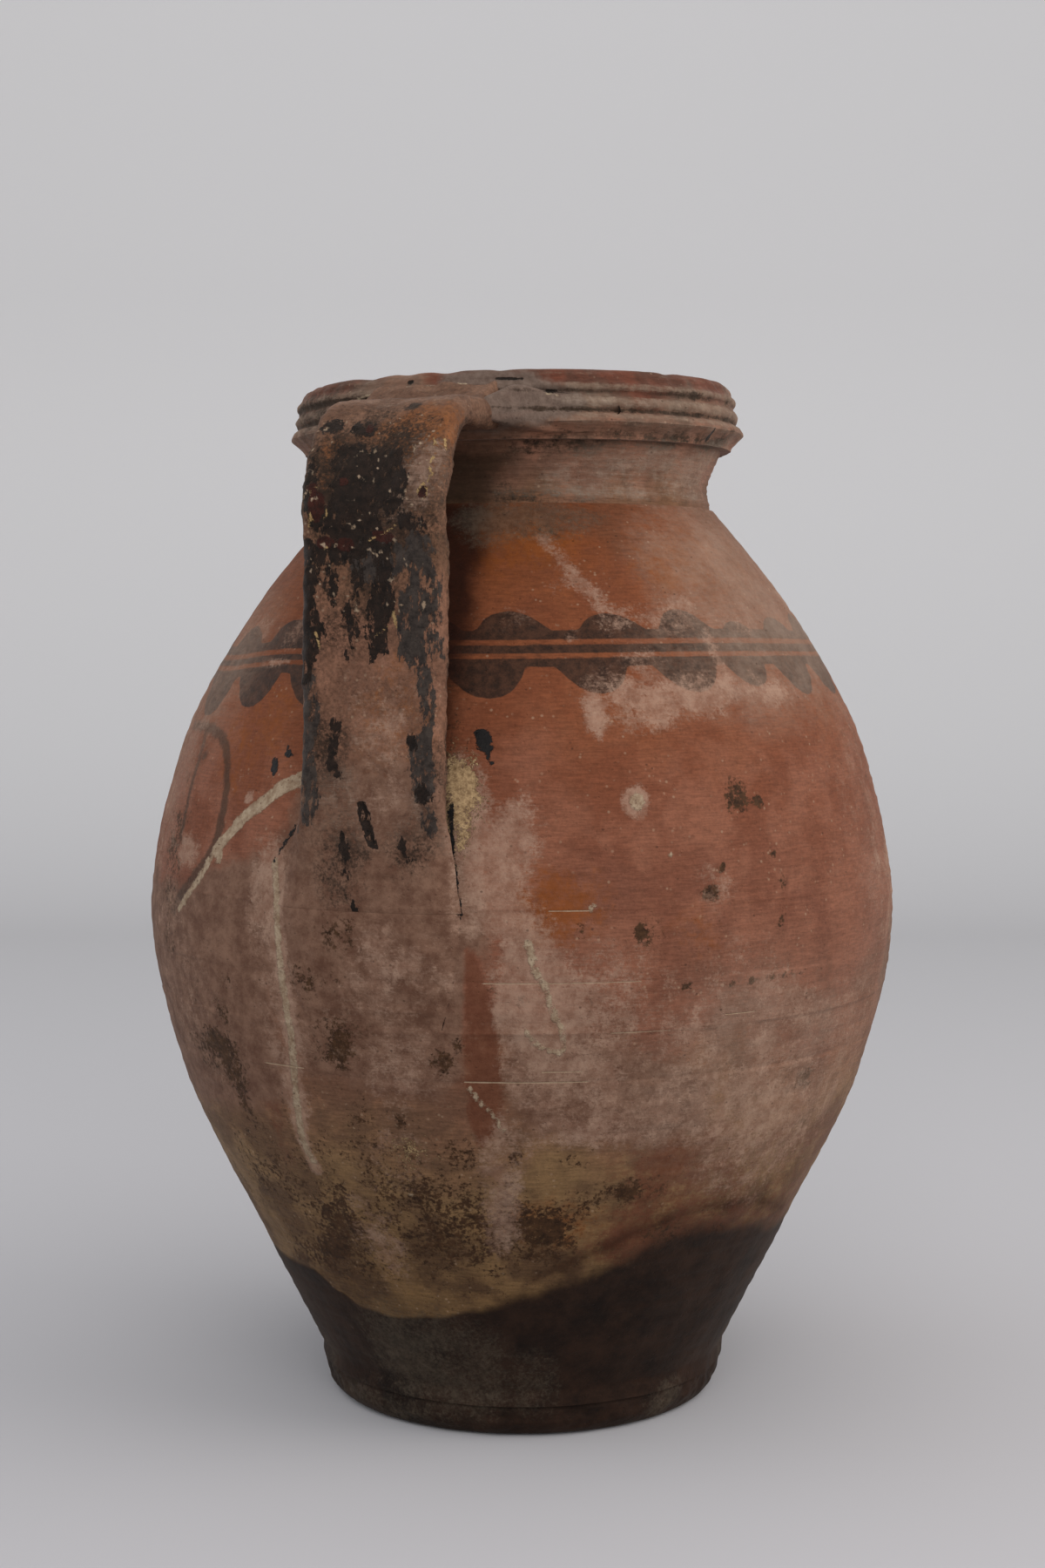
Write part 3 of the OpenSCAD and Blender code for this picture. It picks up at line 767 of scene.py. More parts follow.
class Board:
    """Places and joins the nodes of one material or one node group."""

    def __init__(self, tree: bpy.types.NodeTree) -> None:
        """Starts on an empty node tree."""
        self.tree = tree
        self.tree.nodes.clear()

    def add(self, kind: str, **settings) -> bpy.types.Node:
        """Adds a node and sets its properties.

        Args:
            kind: The node's type.
            **settings: Properties of the node.

        Returns:
            The new node.
        """
        node = self.tree.nodes.new(kind)
        for key, value in settings.items():
            setattr(node, key, value)
        return node

    def feed(self, socket: bpy.types.NodeSocket, value) -> None:
        """Joins a socket to another one, or sets it to a value."""
        if isinstance(value, bpy.types.NodeSocket):
            self.tree.links.new(value, socket)
        elif value is not None:
            socket.default_value = value

    def maths(self, kind: str, first, second=None, clamp: bool = False) -> bpy.types.NodeSocket:
        """Adds a Math node.

        Args:
            kind: The operation.
            first: First value or socket.
            second: Second value or socket.
            clamp: Whether the result is kept from 0 to 1.

        Returns:
            The result.
        """
        node = self.add("ShaderNodeMath", operation=kind, use_clamp=clamp)
        self.feed(node.inputs[0], first)
        self.feed(node.inputs[1], second)
        return node.outputs[0]

    def ease(self, value, low, high, start: float = 0.0, end: float = 1.0) -> bpy.types.NodeSocket:
        """Eases a value from start at low to end at high.

        Args:
            value: The value to ease.
            low: Where the ease starts.
            high: Where it ends.
            start: Result at low.
            end: Result at high.

        Returns:
            The eased value.
        """
        node = self.add("ShaderNodeMapRange", interpolation_type="SMOOTHSTEP")
        for socket, given in zip(node.inputs, (value, low, high, start, end)):
            self.feed(socket, given)
        return node.outputs[0]

    def scaled(self, place, factors: tuple) -> bpy.types.NodeSocket:
        """Returns a place with each of its three values multiplied."""
        node = self.add("ShaderNodeVectorMath", operation="MULTIPLY")
        self.feed(node.inputs[0], place)
        node.inputs[1].default_value = factors
        return node.outputs[0]

    def noise(self, place, size, detail: float = 4.0, rough: float = 0.55, bend: float = 0.0):
        """Adds a Noise Texture.

        Args:
            place: Where it is read.
            size: Size of a typical patch in mm, or a socket that holds a scale.
            detail: Octaves of finer noise.
            rough: Strength of the finer noise.
            bend: Distortion.

        Returns:
            The noise value.
        """
        node = self.add("ShaderNodeTexNoise")
        self.feed(node.inputs["Vector"], place)
        self.feed(node.inputs["Scale"], size if isinstance(size, bpy.types.NodeSocket) else 1 / (size * MM))
        node.inputs["Detail"].default_value = detail
        node.inputs["Roughness"].default_value = rough
        node.inputs["Distortion"].default_value = bend
        return node.outputs["Fac"]

    def cells(self, place, size: float, loose: float = 1.0) -> bpy.types.NodeSocket:
        """Returns the distance to the nearest of some random points, size mm apart."""
        node = self.add("ShaderNodeTexVoronoi")
        self.feed(node.inputs["Vector"], place)
        node.inputs["Scale"].default_value = 1 / (size * MM)
        node.inputs["Randomness"].default_value = loose
        return node.outputs["Distance"]

    def blend(self, factor, under, over, mode: str = "MIX") -> bpy.types.NodeSocket:
        """Mixes two colours.

        Args:
            factor: How much of the upper colour shows.
            under: Lower colour.
            over: Upper colour.
            mode: How they mix.

        Returns:
            The mixed colour.
        """
        node = self.add("ShaderNodeMix", data_type="RGBA", blend_type=mode)
        self.feed(node.inputs[0], factor)
        self.feed(node.inputs[6], under)
        self.feed(node.inputs[7], over)
        return node.outputs[2]

    def slide(self, factor, under, over) -> bpy.types.NodeSocket:
        """Returns a value between two others."""
        node = self.add("ShaderNodeMix", data_type="FLOAT")
        self.feed(node.inputs[0], factor)
        self.feed(node.inputs[2], under)
        self.feed(node.inputs[3], over)
        return node.outputs[0]

    def ramp(self, value, stops: tuple) -> bpy.types.NodeSocket:
        """Adds a colour ramp.

        Args:
            value: Where the ramp is read, from 0 to 1.
            stops: Pairs of place and colour code.

        Returns:
            The colour.
        """
        node = self.add("ShaderNodeValToRGB")
        self.feed(node.inputs[0], value)
        elements = node.color_ramp.elements
        while len(elements) < len(stops):
            elements.new(0.5)
        for element, (place, code) in zip(elements, stops):
            element.position = place
            element.color = tone(code)
        return node.outputs[0]

    def value_of(self, layer: Layer) -> bpy.types.NodeSocket:
        """Returns the value that the mesh carries for a layer."""
        return self.add("ShaderNodeAttribute", attribute_name=layer.value).outputs["Fac"]

    def use(self, group: bpy.types.NodeTree, **values) -> bpy.types.Node:
        """Adds a node group and feeds its inputs.

        Args:
            group: The group.
            **values: Its inputs by name, with an underscore for each space.

        Returns:
            The group's node.
        """
        node = self.add("ShaderNodeGroup", node_tree=group)
        for key, value in values.items():
            self.feed(node.inputs[key.replace("_", " ")], value)
        return node


def new_group(name: str, inputs: dict, outputs: tuple) -> tuple:
    """Starts a node group.

    Args:
        name: Name of the group.
        inputs: Socket type of each input, by name.
        outputs: Names of the outputs, which are all values.

    Returns:
        The group, its board, its input node and its output node.
    """
    group = bpy.data.node_groups.new(name, "ShaderNodeTree")
    board = Board(group)
    for key, kind in inputs.items():
        group.interface.new_socket(key, in_out="INPUT", socket_type=kind)
    for key in outputs:
        group.interface.new_socket(key, in_out="OUTPUT", socket_type="NodeSocketFloat")
    return group, board, board.add("NodeGroupInput"), board.add("NodeGroupOutput")


class Effects:
    """Shader groups that more than one finish uses."""

    def __init__(self) -> None:
        """Builds each group once."""
        self.ragged = self.make_ragged()
        self.powder = self.make_powder()
        self.grain = self.make_grain()

    @staticmethod
    def make_ragged() -> bpy.types.NodeTree:
        """Returns a group that turns a depth into a cover with a frayed edge and gaps."""
        number = "NodeSocketFloat"
        group, board, source, sink = new_group(
            "Ragged film", {"Place": "NodeSocketVector", "Depth": number, "Fray": number, "Scale": number,
                            "Soft": number, "Gaps": number}, ("Cover",))
        get = source.outputs
        coarse = board.noise(get["Place"], get["Scale"], 5.0, 0.62)
        fine_scale = board.maths("MULTIPLY", get["Scale"], 4.3)
        fine = board.noise(get["Place"], fine_scale, 3.0, 0.6)
        wander = board.maths("ADD", board.maths("SUBTRACT", coarse, 0.5),
                             board.maths("MULTIPLY", board.maths("SUBTRACT", fine, 0.5), 0.45))
        depth = board.maths("ADD", get["Depth"],
                            board.maths("MULTIPLY", wander, board.maths("MULTIPLY", get["Fray"], 3.2)))
        soft = get["Soft"]
        cover = board.ease(depth, board.maths("MULTIPLY", soft, -1.0), soft)
        gap_scale = board.maths("MULTIPLY", get["Scale"], 1.7)
        holes = board.noise(get["Place"], gap_scale, 6.0, 0.68)
        limit = board.maths("SUBTRACT", 0.78, board.maths("MULTIPLY", get["Gaps"], 0.36))
        hole = board.ease(holes, limit, board.maths("ADD", limit, 0.07))
        inside = board.maths("MULTIPLY", hole, board.maths("GREATER_THAN", get["Gaps"], 0.001))
        board.feed(sink.inputs["Cover"],
                   board.maths("MULTIPLY", cover, board.maths("SUBTRACT", 1.0, inside), clamp=True))
        return group

    @staticmethod
    def make_powder() -> bpy.types.NodeTree:
        """Returns a group that turns an amount into a dusty cover with grains and fine level streaks."""
        number = "NodeSocketFloat"
        group, board, source, sink = new_group(
            "Powder", {"Place": "NodeSocketVector", "Amount": number, "Scale": number, "Streak": number,
                       "Blur": number}, ("Cover",))
        get = source.outputs
        level = board.scaled(get["Place"], (0.25, 0.25, 1.7))
        streaks = board.noise(level, board.maths("MULTIPLY", get["Scale"], 3.4), 6.0, 0.75)
        fine = board.noise(get["Place"], board.maths("MULTIPLY", get["Scale"], 3.6), 5.0, 0.72)
        blots = board.noise(get["Place"], get["Scale"], 5.0, 0.65, 0.6)
        drifts = board.noise(get["Place"], board.maths("MULTIPLY", get["Scale"], 0.24), 4.0, 0.6, 0.5)
        grit = board.slide(get["Streak"], fine, streaks)
        total = board.maths("ADD", board.maths("MULTIPLY", board.maths("SUBTRACT", grit, 0.5), 2.3),
                            board.maths("MULTIPLY", board.maths("SUBTRACT", blots, 0.5), 1.1))
        total = board.maths("ADD", total, board.maths("MULTIPLY", board.maths("SUBTRACT", drifts, 0.5), 1.6))
        amount = board.maths("MULTIPLY", get["Amount"], 1.25)
        total = board.maths("ADD", total, board.maths("SUBTRACT", amount, 0.5))
        cover = board.ease(total, board.maths("MULTIPLY", get["Blur"], -1.0), get["Blur"])
        lit = board.ease(get["Amount"], 0.02, 0.22)
        board.feed(sink.inputs["Cover"], board.maths("MULTIPLY", cover, lit, clamp=True))
        return group

    @staticmethod
    def make_grain() -> bpy.types.NodeTree:
        """Returns a group with the relief, shade and specks of fired clay."""
        number = "NodeSocketFloat"
        group, board, source, sink = new_group(
            "Fired grain", {"Place": "NodeSocketVector", "Relief": number, "Wiping": number},
            ("Height", "Shade", "Pale specks", "Dark specks"))
        place = source.outputs["Place"]
        level = board.scaled(place, (0.12, 0.12, 1.0))
        wiping = board.noise(level, 0.9, 5.0, 0.7)
        ridges = board.noise(level, 4.5, 2.0, 0.5)
        grit = board.noise(place, 0.7, 4.0, 0.7)
        lumps = board.noise(place, 3.5, 4.0, 0.6)
        pits = board.ease(board.cells(place, 3.4), 0.06, 0.18)
        pits = board.maths("MULTIPLY", pits, board.ease(board.cells(board.scaled(place, (1, 1, 0.8)), 7.5),
                                                         0.04, 0.1))
        combed = board.maths("MULTIPLY", board.maths("ADD", wiping, ridges), source.outputs["Wiping"])
        rough = board.maths("ADD", board.maths("MULTIPLY", grit, 0.16), board.maths("MULTIPLY", lumps, 0.34))
        rough = board.maths("ADD", rough, board.maths("MULTIPLY", pits, 0.22))
        height = board.maths("ADD", rough, board.maths("MULTIPLY", combed, 0.2))
        board.feed(sink.inputs["Height"], board.maths("MULTIPLY", height, source.outputs["Relief"]))
        shade = board.slide(source.outputs["Wiping"], board.noise(place, 1.6, 5.0, 0.7), wiping)
        board.feed(sink.inputs["Shade"], shade)
        pale = board.maths("SUBTRACT", 1.0, board.ease(board.cells(place, 3.6), 0.1, 0.24))
        some = board.ease(board.noise(place, 9.0, 2.0), 0.48, 0.62)
        board.feed(sink.inputs["Pale specks"], board.maths("MULTIPLY", pale, some))
        dark = board.maths("SUBTRACT", 1.0, board.ease(board.cells(board.scaled(place, (1, 1, 1.3)), 4.2),
                                                        0.08, 0.2))
        few = board.ease(board.noise(board.scaled(place, (1.2, 1.2, 1.2)), 12.0, 2.0), 0.52, 0.66)
        board.feed(sink.inputs["Dark specks"], board.maths("MULTIPLY", dark, few))
        return group


class Spread(Enum):
    """How a film lies: with a frayed edge round a shape, or as dust that comes and goes."""

    RAGGED = "ragged"
    POWDER = "powder"


@dataclass(frozen=True)
class Film:
    """One layer over the clay."""

    layer: Layer
    spread: Spread
    dark: str
    light: str
    rough: float
    lift: float = 0.0
    size: float = 8.0
    fray: float = 0.4
    soft: float = 0.25
    gaps: float = 0.0
    streak: float = 0.3
    blur: float = 0.45
    full: float = 1.0
    mottle: float = 4.0
    upright: float = 1.0


@dataclass(frozen=True)
class FiredClay:
    """A finish: clay whose colour follows the height, with films over it."""

    name: str
    # Colours by height hold the clay's tone with the shading of each height painted in.
    fresh: tuple
    dull: tuple
    top: float
    films: tuple
    relief: float = 0.75
    wiping: float = 0.6
    rough: float = 0.62
    mottle: float = 26.0
    dust: float = 0.06

    def make(self, effects: Effects) -> bpy.types.Material:
        """Builds the material.

        Args:
            effects: The shared shader groups.

        Returns:
            The material.
        """
        material = bpy.data.materials.new(self.name)
        material.use_nodes = True
        board = Board(material.node_tree)
        place = board.add("ShaderNodeTexCoord").outputs["Object"]
        split = board.add("ShaderNodeSeparateXYZ")
        board.feed(split.inputs[0], place)
        height = board.maths("DIVIDE", split.outputs[2], self.top * MM)
        sway = board.maths("MULTIPLY", board.maths("SUBTRACT", board.noise(place, 48.0, 4.0), 0.5), 0.2)
        level = board.maths("ADD", height, sway)
        patches = board.ease(board.noise(place, self.mottle, 5.0, 0.6, 0.4), 0.38, 0.62)
        colour = board.blend(patches, board.ramp(level, self.fresh), board.ramp(level, self.dull))
        grain = board.use(effects.grain, Place=place, Relief=self.relief, Wiping=self.wiping)
        shade = board.ease(grain.outputs["Shade"], 0.32, 0.68, 0.72, 1.24)
        colour = board.blend(1.0, colour, self.grey(board, shade), "MULTIPLY")
        colour = board.blend(board.maths("MULTIPLY", grain.outputs["Pale specks"], 0.4), colour,
                             tone("b39a83"))
        rough = board.ease(patches, 0.0, 1.0, self.rough - 0.05, self.rough + 0.05)
        relief = grain.outputs["Height"]
        for film in self.films:
            cover = self.cover(board, effects, film, place)
            variety = board.ease(board.noise(place, film.mottle, 6.0, 0.78), 0.33, 0.67)
            paint = board.blend(variety, tone(film.dark), tone(film.light))
            colour = board.blend(cover, colour, paint)
            rough = board.slide(cover, rough, film.rough)
            if film.lift:
                relief = board.maths("ADD", relief, board.maths("MULTIPLY", cover, film.lift))
        colour = board.blend(board.maths("MULTIPLY", grain.outputs["Dark specks"], 0.55), colour,
                             tone("2a1c16"))
        shader = board.add("ShaderNodeBsdfPrincipled")
        shader.inputs["Specular IOR Level"].default_value = 0.12
        shader.inputs["Sheen Weight"].default_value = self.dust
        shader.inputs["Sheen Roughness"].default_value = 0.45
        shader.inputs["Sheen Tint"].default_value = tone("d8c8bc")
        board.feed(shader.inputs["Base Color"], colour)
        board.feed(shader.inputs["Roughness"], rough)
        bump = board.add("ShaderNodeBump")
        bump.inputs["Strength"].default_value = 1.0
        bump.inputs["Distance"].default_value = MM
        board.feed(bump.inputs["Height"], relief)
        board.feed(shader.inputs["Normal"], bump.outputs[0])
        board.feed(board.add("ShaderNodeOutputMaterial").inputs[0], shader.outputs[0])
        return material

    @staticmethod
    def grey(board: Board, value: bpy.types.NodeSocket) -> bpy.types.NodeSocket:
        """Returns a value as a grey colour."""
        node = board.add("ShaderNodeCombineColor")
        for socket in node.inputs:
            board.feed(socket, value)
        return node.outputs[0]

    @staticmethod
    def cover(board: Board, effects: Effects, film: Film, place) -> bpy.types.NodeSocket:
        """Finds how much of a film shows.

        Args:
            board: Where the nodes go.
            effects: The shared shader groups.
            film: The film.
            place: Where the pattern is read.

        Returns:
            Cover from 0 to 1.
        """
        value = board.value_of(film.layer)
        scale = 1 / (film.size * MM)
        if film.upright != 1.0:
            place = board.scaled(place, (1.0, 1.0, film.upright))
        if film.spread is Spread.RAGGED:
            node = board.use(effects.ragged, Place=place, Depth=value, Fray=film.fray, Scale=scale,
                             Soft=film.soft, Gaps=film.gaps)
        else:
            node = board.use(effects.powder, Place=place, Amount=value, Scale=scale, Streak=film.streak,
                             Blur=film.blur)
        return board.maths("MULTIPLY", node.outputs["Cover"], film.full)


CLAY_SMEAR = Film(Layer.SMEAR, Spread.RAGGED, "64473a", "876959", 0.66, 0.1, size=16, fray=5.0, soft=5.0,
                  mottle=10)
WALL_BLOOM = Film(Layer.BLOOM, Spread.POWDER, "8a6a5b", "b89c8b", 0.85, 0.12, size=5, streak=0.4, blur=0.32,
                  full=0.64, mottle=8)

WALL_CLAY = FiredClay(
    name="Wall clay", top=480.0,
    fresh=((0.0, "3a2a20"), (0.14, "7b6041"), (0.27, "8b6f50"), (0.34, "89664f"), (0.42, "875b4a"),
           (0.52, "8a5b48"), (0.62, "865541"), (0.72, "804b30"), (0.82, "7c4629"), (0.88, "744025")),
    dull=((0.0, "2a1f1a"), (0.14, "523d2c"), (0.27, "6a523e"), (0.34, "705443"), (0.42, "785344"),
          (0.52, "784c3c"), (0.62, "784733"), (0.72, "79452d"), (0.82, "72422c"), (0.88, "6a422d")),
    films=(
        Film(Layer.WARM, Spread.POWDER, "7a4219", "8d4f22", 0.6, size=14, streak=0.2, full=0.8),
        Film(Layer.ROSE, Spread.POWDER, "5f3626", "724836", 0.55, size=12, streak=0.2, full=0.85),
        CLAY_SMEAR,
        Film(Layer.SLIP, Spread.RAGGED, "2c1e18", "503528", 0.5, 0.06, size=5, fray=0.3, soft=0.3, gaps=0.15),
        Film(Layer.LOOP, Spread.RAGGED, "38281f", "4c392d", 0.6, size=4, fray=1.4, soft=1.1, gaps=0.4, full=0.8),
        # Deep red-brown film: painted shade behind the straps, and the real dark halo above the dip.
        Film(Layer.SHADE_AND_GRIME, Spread.RAGGED, "1e0a04", "2b1007", 0.8, size=16, fray=4.0, soft=8.0, full=0.93),
        Film(Layer.SOIL, Spread.POWDER, "2e1f16", "523a28", 0.7, 0.08, size=7, streak=0.05, blur=0.18),
        # Pale film on the flanks: dust with a painted sheen.
        Film(Layer.DUST_AND_SHEEN, Spread.POWDER, "8b7567", "ab9789", 0.8, size=9, streak=0.5, blur=1.0, full=0.56, mottle=30),
        WALL_BLOOM,
        Film(Layer.CREAM, Spread.POWDER, "7d664a", "c4a982", 0.85, 0.25, size=3.4, streak=0.0, blur=0.1,
             full=0.92, mottle=2.0),
        Film(Layer.LIME, Spread.RAGGED, "8a7460", "b5a48f", 0.85, 0.3, size=3, fray=1.1, soft=0.5, gaps=0.45),
        Film(Layer.SCAR, Spread.RAGGED, "a08a74", "b59f8a", 0.8, -0.15, size=5, fray=0.12, soft=0.12, gaps=0.4),
        Film(Layer.DIP, Spread.RAGGED, "150d0a", "33231b", 0.66, 0.12, size=22, fray=0.5, soft=1.3, mottle=40),
        Film(Layer.HAZE, Spread.POWDER, "3f3931", "62584d", 0.8, 0.05, size=6, streak=0.0, blur=0.5, full=0.6),
        Film(Layer.TAR, Spread.RAGGED, "0c0c0e", "1a191b", 0.3, 0.35, size=2.5, fray=0.9, soft=0.2),
    ))

MOUTH_CLAY = FiredClay(
    name="Mouth clay", top=480.0, relief=0.7, wiping=0.75, rough=0.66, mottle=18.0, dust=0.18,
    fresh=((0.86, "78563f"), (0.9, "8c6655"), (0.93, "8e6654"), (0.955, "7d6051"), (0.975, "806151"),
           (0.986, "714a3b"), (0.999, "693d2f")),
    dull=((0.86, "684e3b"), (0.9, "785a4c"), (0.93, "7e5e4f"), (0.955, "6b5448"), (0.975, "6f5a4e"),
          (0.986, "5f4a40"), (0.999, "583a30")),
    films=(
        Film(Layer.WARM, Spread.RAGGED, "7d5040", "8c5c48", 0.6, size=8, fray=0.25, soft=0.5, full=0.8),
        Film(Layer.CREST, Spread.POWDER, "7b6a5d", "9a8a7b", 0.85, 0.05, size=4, streak=0.8, full=0.6),
        Film(Layer.SMEAR, Spread.RAGGED, "5e5049", "796a62", 0.75, 0.1, size=8, fray=2.4, soft=2.4, full=0.9),
        # Dark film on the neck under the straps: painted shade.
        Film(Layer.SHADE_AND_GRIME, Spread.RAGGED, "2c2017", "3b2c20", 0.8, size=14, fray=3.0, soft=7.0, full=0.85),
        Film(Layer.SOIL, Spread.POWDER, "2c221b", "45382e", 0.75, size=5, streak=0.5, blur=0.3),
        Film(Layer.BLOOM, Spread.POWDER, "8b7a6d", "a5978a", 0.85, 0.08, size=5, streak=0.7, full=0.6),
        Film(Layer.LIME, Spread.RAGGED, "9a8874", "b7a791", 0.85, 0.15, size=4, fray=0.7, soft=0.3, gaps=0.45),
        Film(Layer.TAR, Spread.RAGGED, "14100e", "241c18", 0.5, -0.5, size=3, fray=0.4, soft=0.25),
    ))

STRAP_CLAY = FiredClay(
    name="Strap clay", top=480.0, relief=1.0, wiping=0.0, rough=0.6, mottle=15.0,
    fresh=((0.5, "80614f"), (0.62, "866351"), (0.74, "8c6654"), (0.84, "7c5a47"), (0.95, "7b5d4c")),
    dull=((0.5, "6f5244"), (0.62, "6f5142"), (0.74, "745445"), (0.84, "604737"), (0.95, "64493b")),
    films=(
        CLAY_SMEAR,
        Film(Layer.WARM, Spread.POWDER, "794a2a", "965e34", 0.5, size=8, fray=0.3, soft=0.5, full=0.8),
        Film(Layer.SOIL, Spread.POWDER, "231b16", "3e3028", 0.65, size=5, streak=0.0),
        WALL_BLOOM,
        Film(Layer.ASH, Spread.RAGGED, "282322", "48403c", 0.5, 0.15, size=5, fray=4.0, soft=0.4, gaps=0.7,
             upright=0.4),
        Film(Layer.TAR, Spread.RAGGED, "15100e", "2c211c", 0.45, 0.3, size=5, fray=4.0, soft=0.35, gaps=0.62,
             upright=0.5),
        Film(Layer.BLISTER, Spread.RAGGED, "25100c", "42201a", 0.35, 0.2, size=3, fray=0.9, soft=0.3),
        Film(Layer.SCAR, Spread.RAGGED, "9b8058", "b89c70", 0.6, 0.2, size=2.5, fray=0.8, soft=0.25, gaps=0.5),
        Film(Layer.LIME, Spread.RAGGED, "94806c", "b09c88", 0.7, 0.15, size=3, fray=0.6, soft=0.3, gaps=0.35),
    ))


def coordinates(piece: bpy.types.Object) -> np.ndarray:
    """Returns a piece's points in mm, one row each."""
    flat = np.empty(len(piece.data.vertices) * 3)
    piece.data.vertices.foreach_get("co", flat)
    return flat.reshape(-1, 3) / MM


def place_points(piece: bpy.types.Object, places: np.ndarray) -> None:
    """Moves a piece's points to places in mm."""
    piece.data.vertices.foreach_set("co", (places * MM).ravel())
    piece.data.update()


def carry(piece: bpy.types.Object, values: dict) -> None:
    """Stores a value for each point and layer on a piece."""
    for layer, numbers in values.items():
        store = piece.data.attributes.new(layer.value, "FLOAT", "POINT")
        store.data.foreach_set("value", np.asarray(numbers, dtype=np.float32))


def sheet(name: str, along: int, around: int) -> tuple:
    """Starts a piece as a flat grid of cells, to be laid on its surface.

    Args:
        name: Name of the piece.
        along: Cells in the first direction.
        around: Cells in the second direction.

    Returns:
        The piece, then the share of the way along and around of each of its points, from 0 to 1.
    """
    mesh = bmesh.new()
    bmesh.ops.create_grid(mesh, x_segments=along, y_segments=around, size=0.5)
    piece = as_object(name, mesh)
    grid = coordinates(piece) * MM + 0.5
    return piece, np.rint(grid[:, 0] * along) / along, np.rint(grid[:, 1] * around) / around


def as_object(name: str, mesh: bmesh.types.BMesh) -> bpy.types.Object:
    """Turns a bmesh into an object in the scene, and frees the bmesh."""
    data = bpy.data.meshes.new(name)
    mesh.to_mesh(data)
    mesh.free()
    piece = bpy.data.objects.new(name, data)
    bpy.context.scene.collection.objects.link(piece)
    return piece


def seal(piece: bpy.types.Object) -> None:
    """Joins a rolled sheet's seam, fills its open ends and points its smooth faces outwards.

    Args:
        piece: The piece, laid on its surface.
    """
    mesh = bmesh.new()
    mesh.from_mesh(piece.data)
    bmesh.ops.remove_doubles(mesh, verts=mesh.verts, dist=2e-6)
    bmesh.ops.holes_fill(mesh, edges=mesh.edges, sides=0)
    bmesh.ops.recalc_face_normals(mesh, faces=mesh.faces)
    for face in mesh.faces:
        face.smooth = True
    for edge in mesh.edges:
        edge.smooth = edge.calc_face_angle(0.0) < SHARP
    mesh.to_mesh(piece.data)
    mesh.free()


def turned(name: str, profile: list, steps: int) -> bpy.types.Object:
    """Turns a closed profile round the jar's axis.

    Args:
        name: Name of the piece.
        profile: Pairs of radius and height in mm, in order. One that starts on the axis also ends there.
        steps: How many steps make a full turn.

    Returns:
        The piece.
    """
    ring = np.array(profile if profile[0][0] == 0 else profile + profile[:1])
    piece, along, around = sheet(name, len(ring) - 1, steps)
    at = np.rint(along * (len(ring) - 1)).astype(int)
    place_points(piece, from_polar(around % 1.0 * 360.0, ring[at, 0], ring[at, 1]))
    seal(piece)
    return piece


def spaced(low: float, high: float, step: float) -> list:
    """Returns heights from low to high in equal steps of about step."""
    count = max(1, round(abs(high - low) / step))
    return [low + (high - low) * i / count for i in range(count + 1)]


def polar(places: np.ndarray) -> tuple:
    """Returns the bearing, radius and height of some points."""
    return (np.degrees(np.arctan2(places[:, 0], -places[:, 1])), np.hypot(places[:, 0], places[:, 1]),
            places[:, 2])


def from_polar(bearing: np.ndarray, radius: np.ndarray, height: np.ndarray) -> np.ndarray:
    """Returns points from their bearing, radius and height."""
    turn = np.radians(bearing)
    return np.stack([radius * np.sin(turn), -radius * np.cos(turn), height], axis=1)


def stand_for(piece: bpy.types.Object, node: str, finish: bpy.types.Material) -> None:
    """Puts a piece in place of a frame node and gives it its finish.

    Args:
        piece: The new piece.
        node: The node that it stands for.
        finish: The material.
    """
    piece.data.materials.append(finish)
    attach(piece, "root")
    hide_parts(node)
    LOG.info("%s: %d faces", piece.name, len(piece.data.polygons))


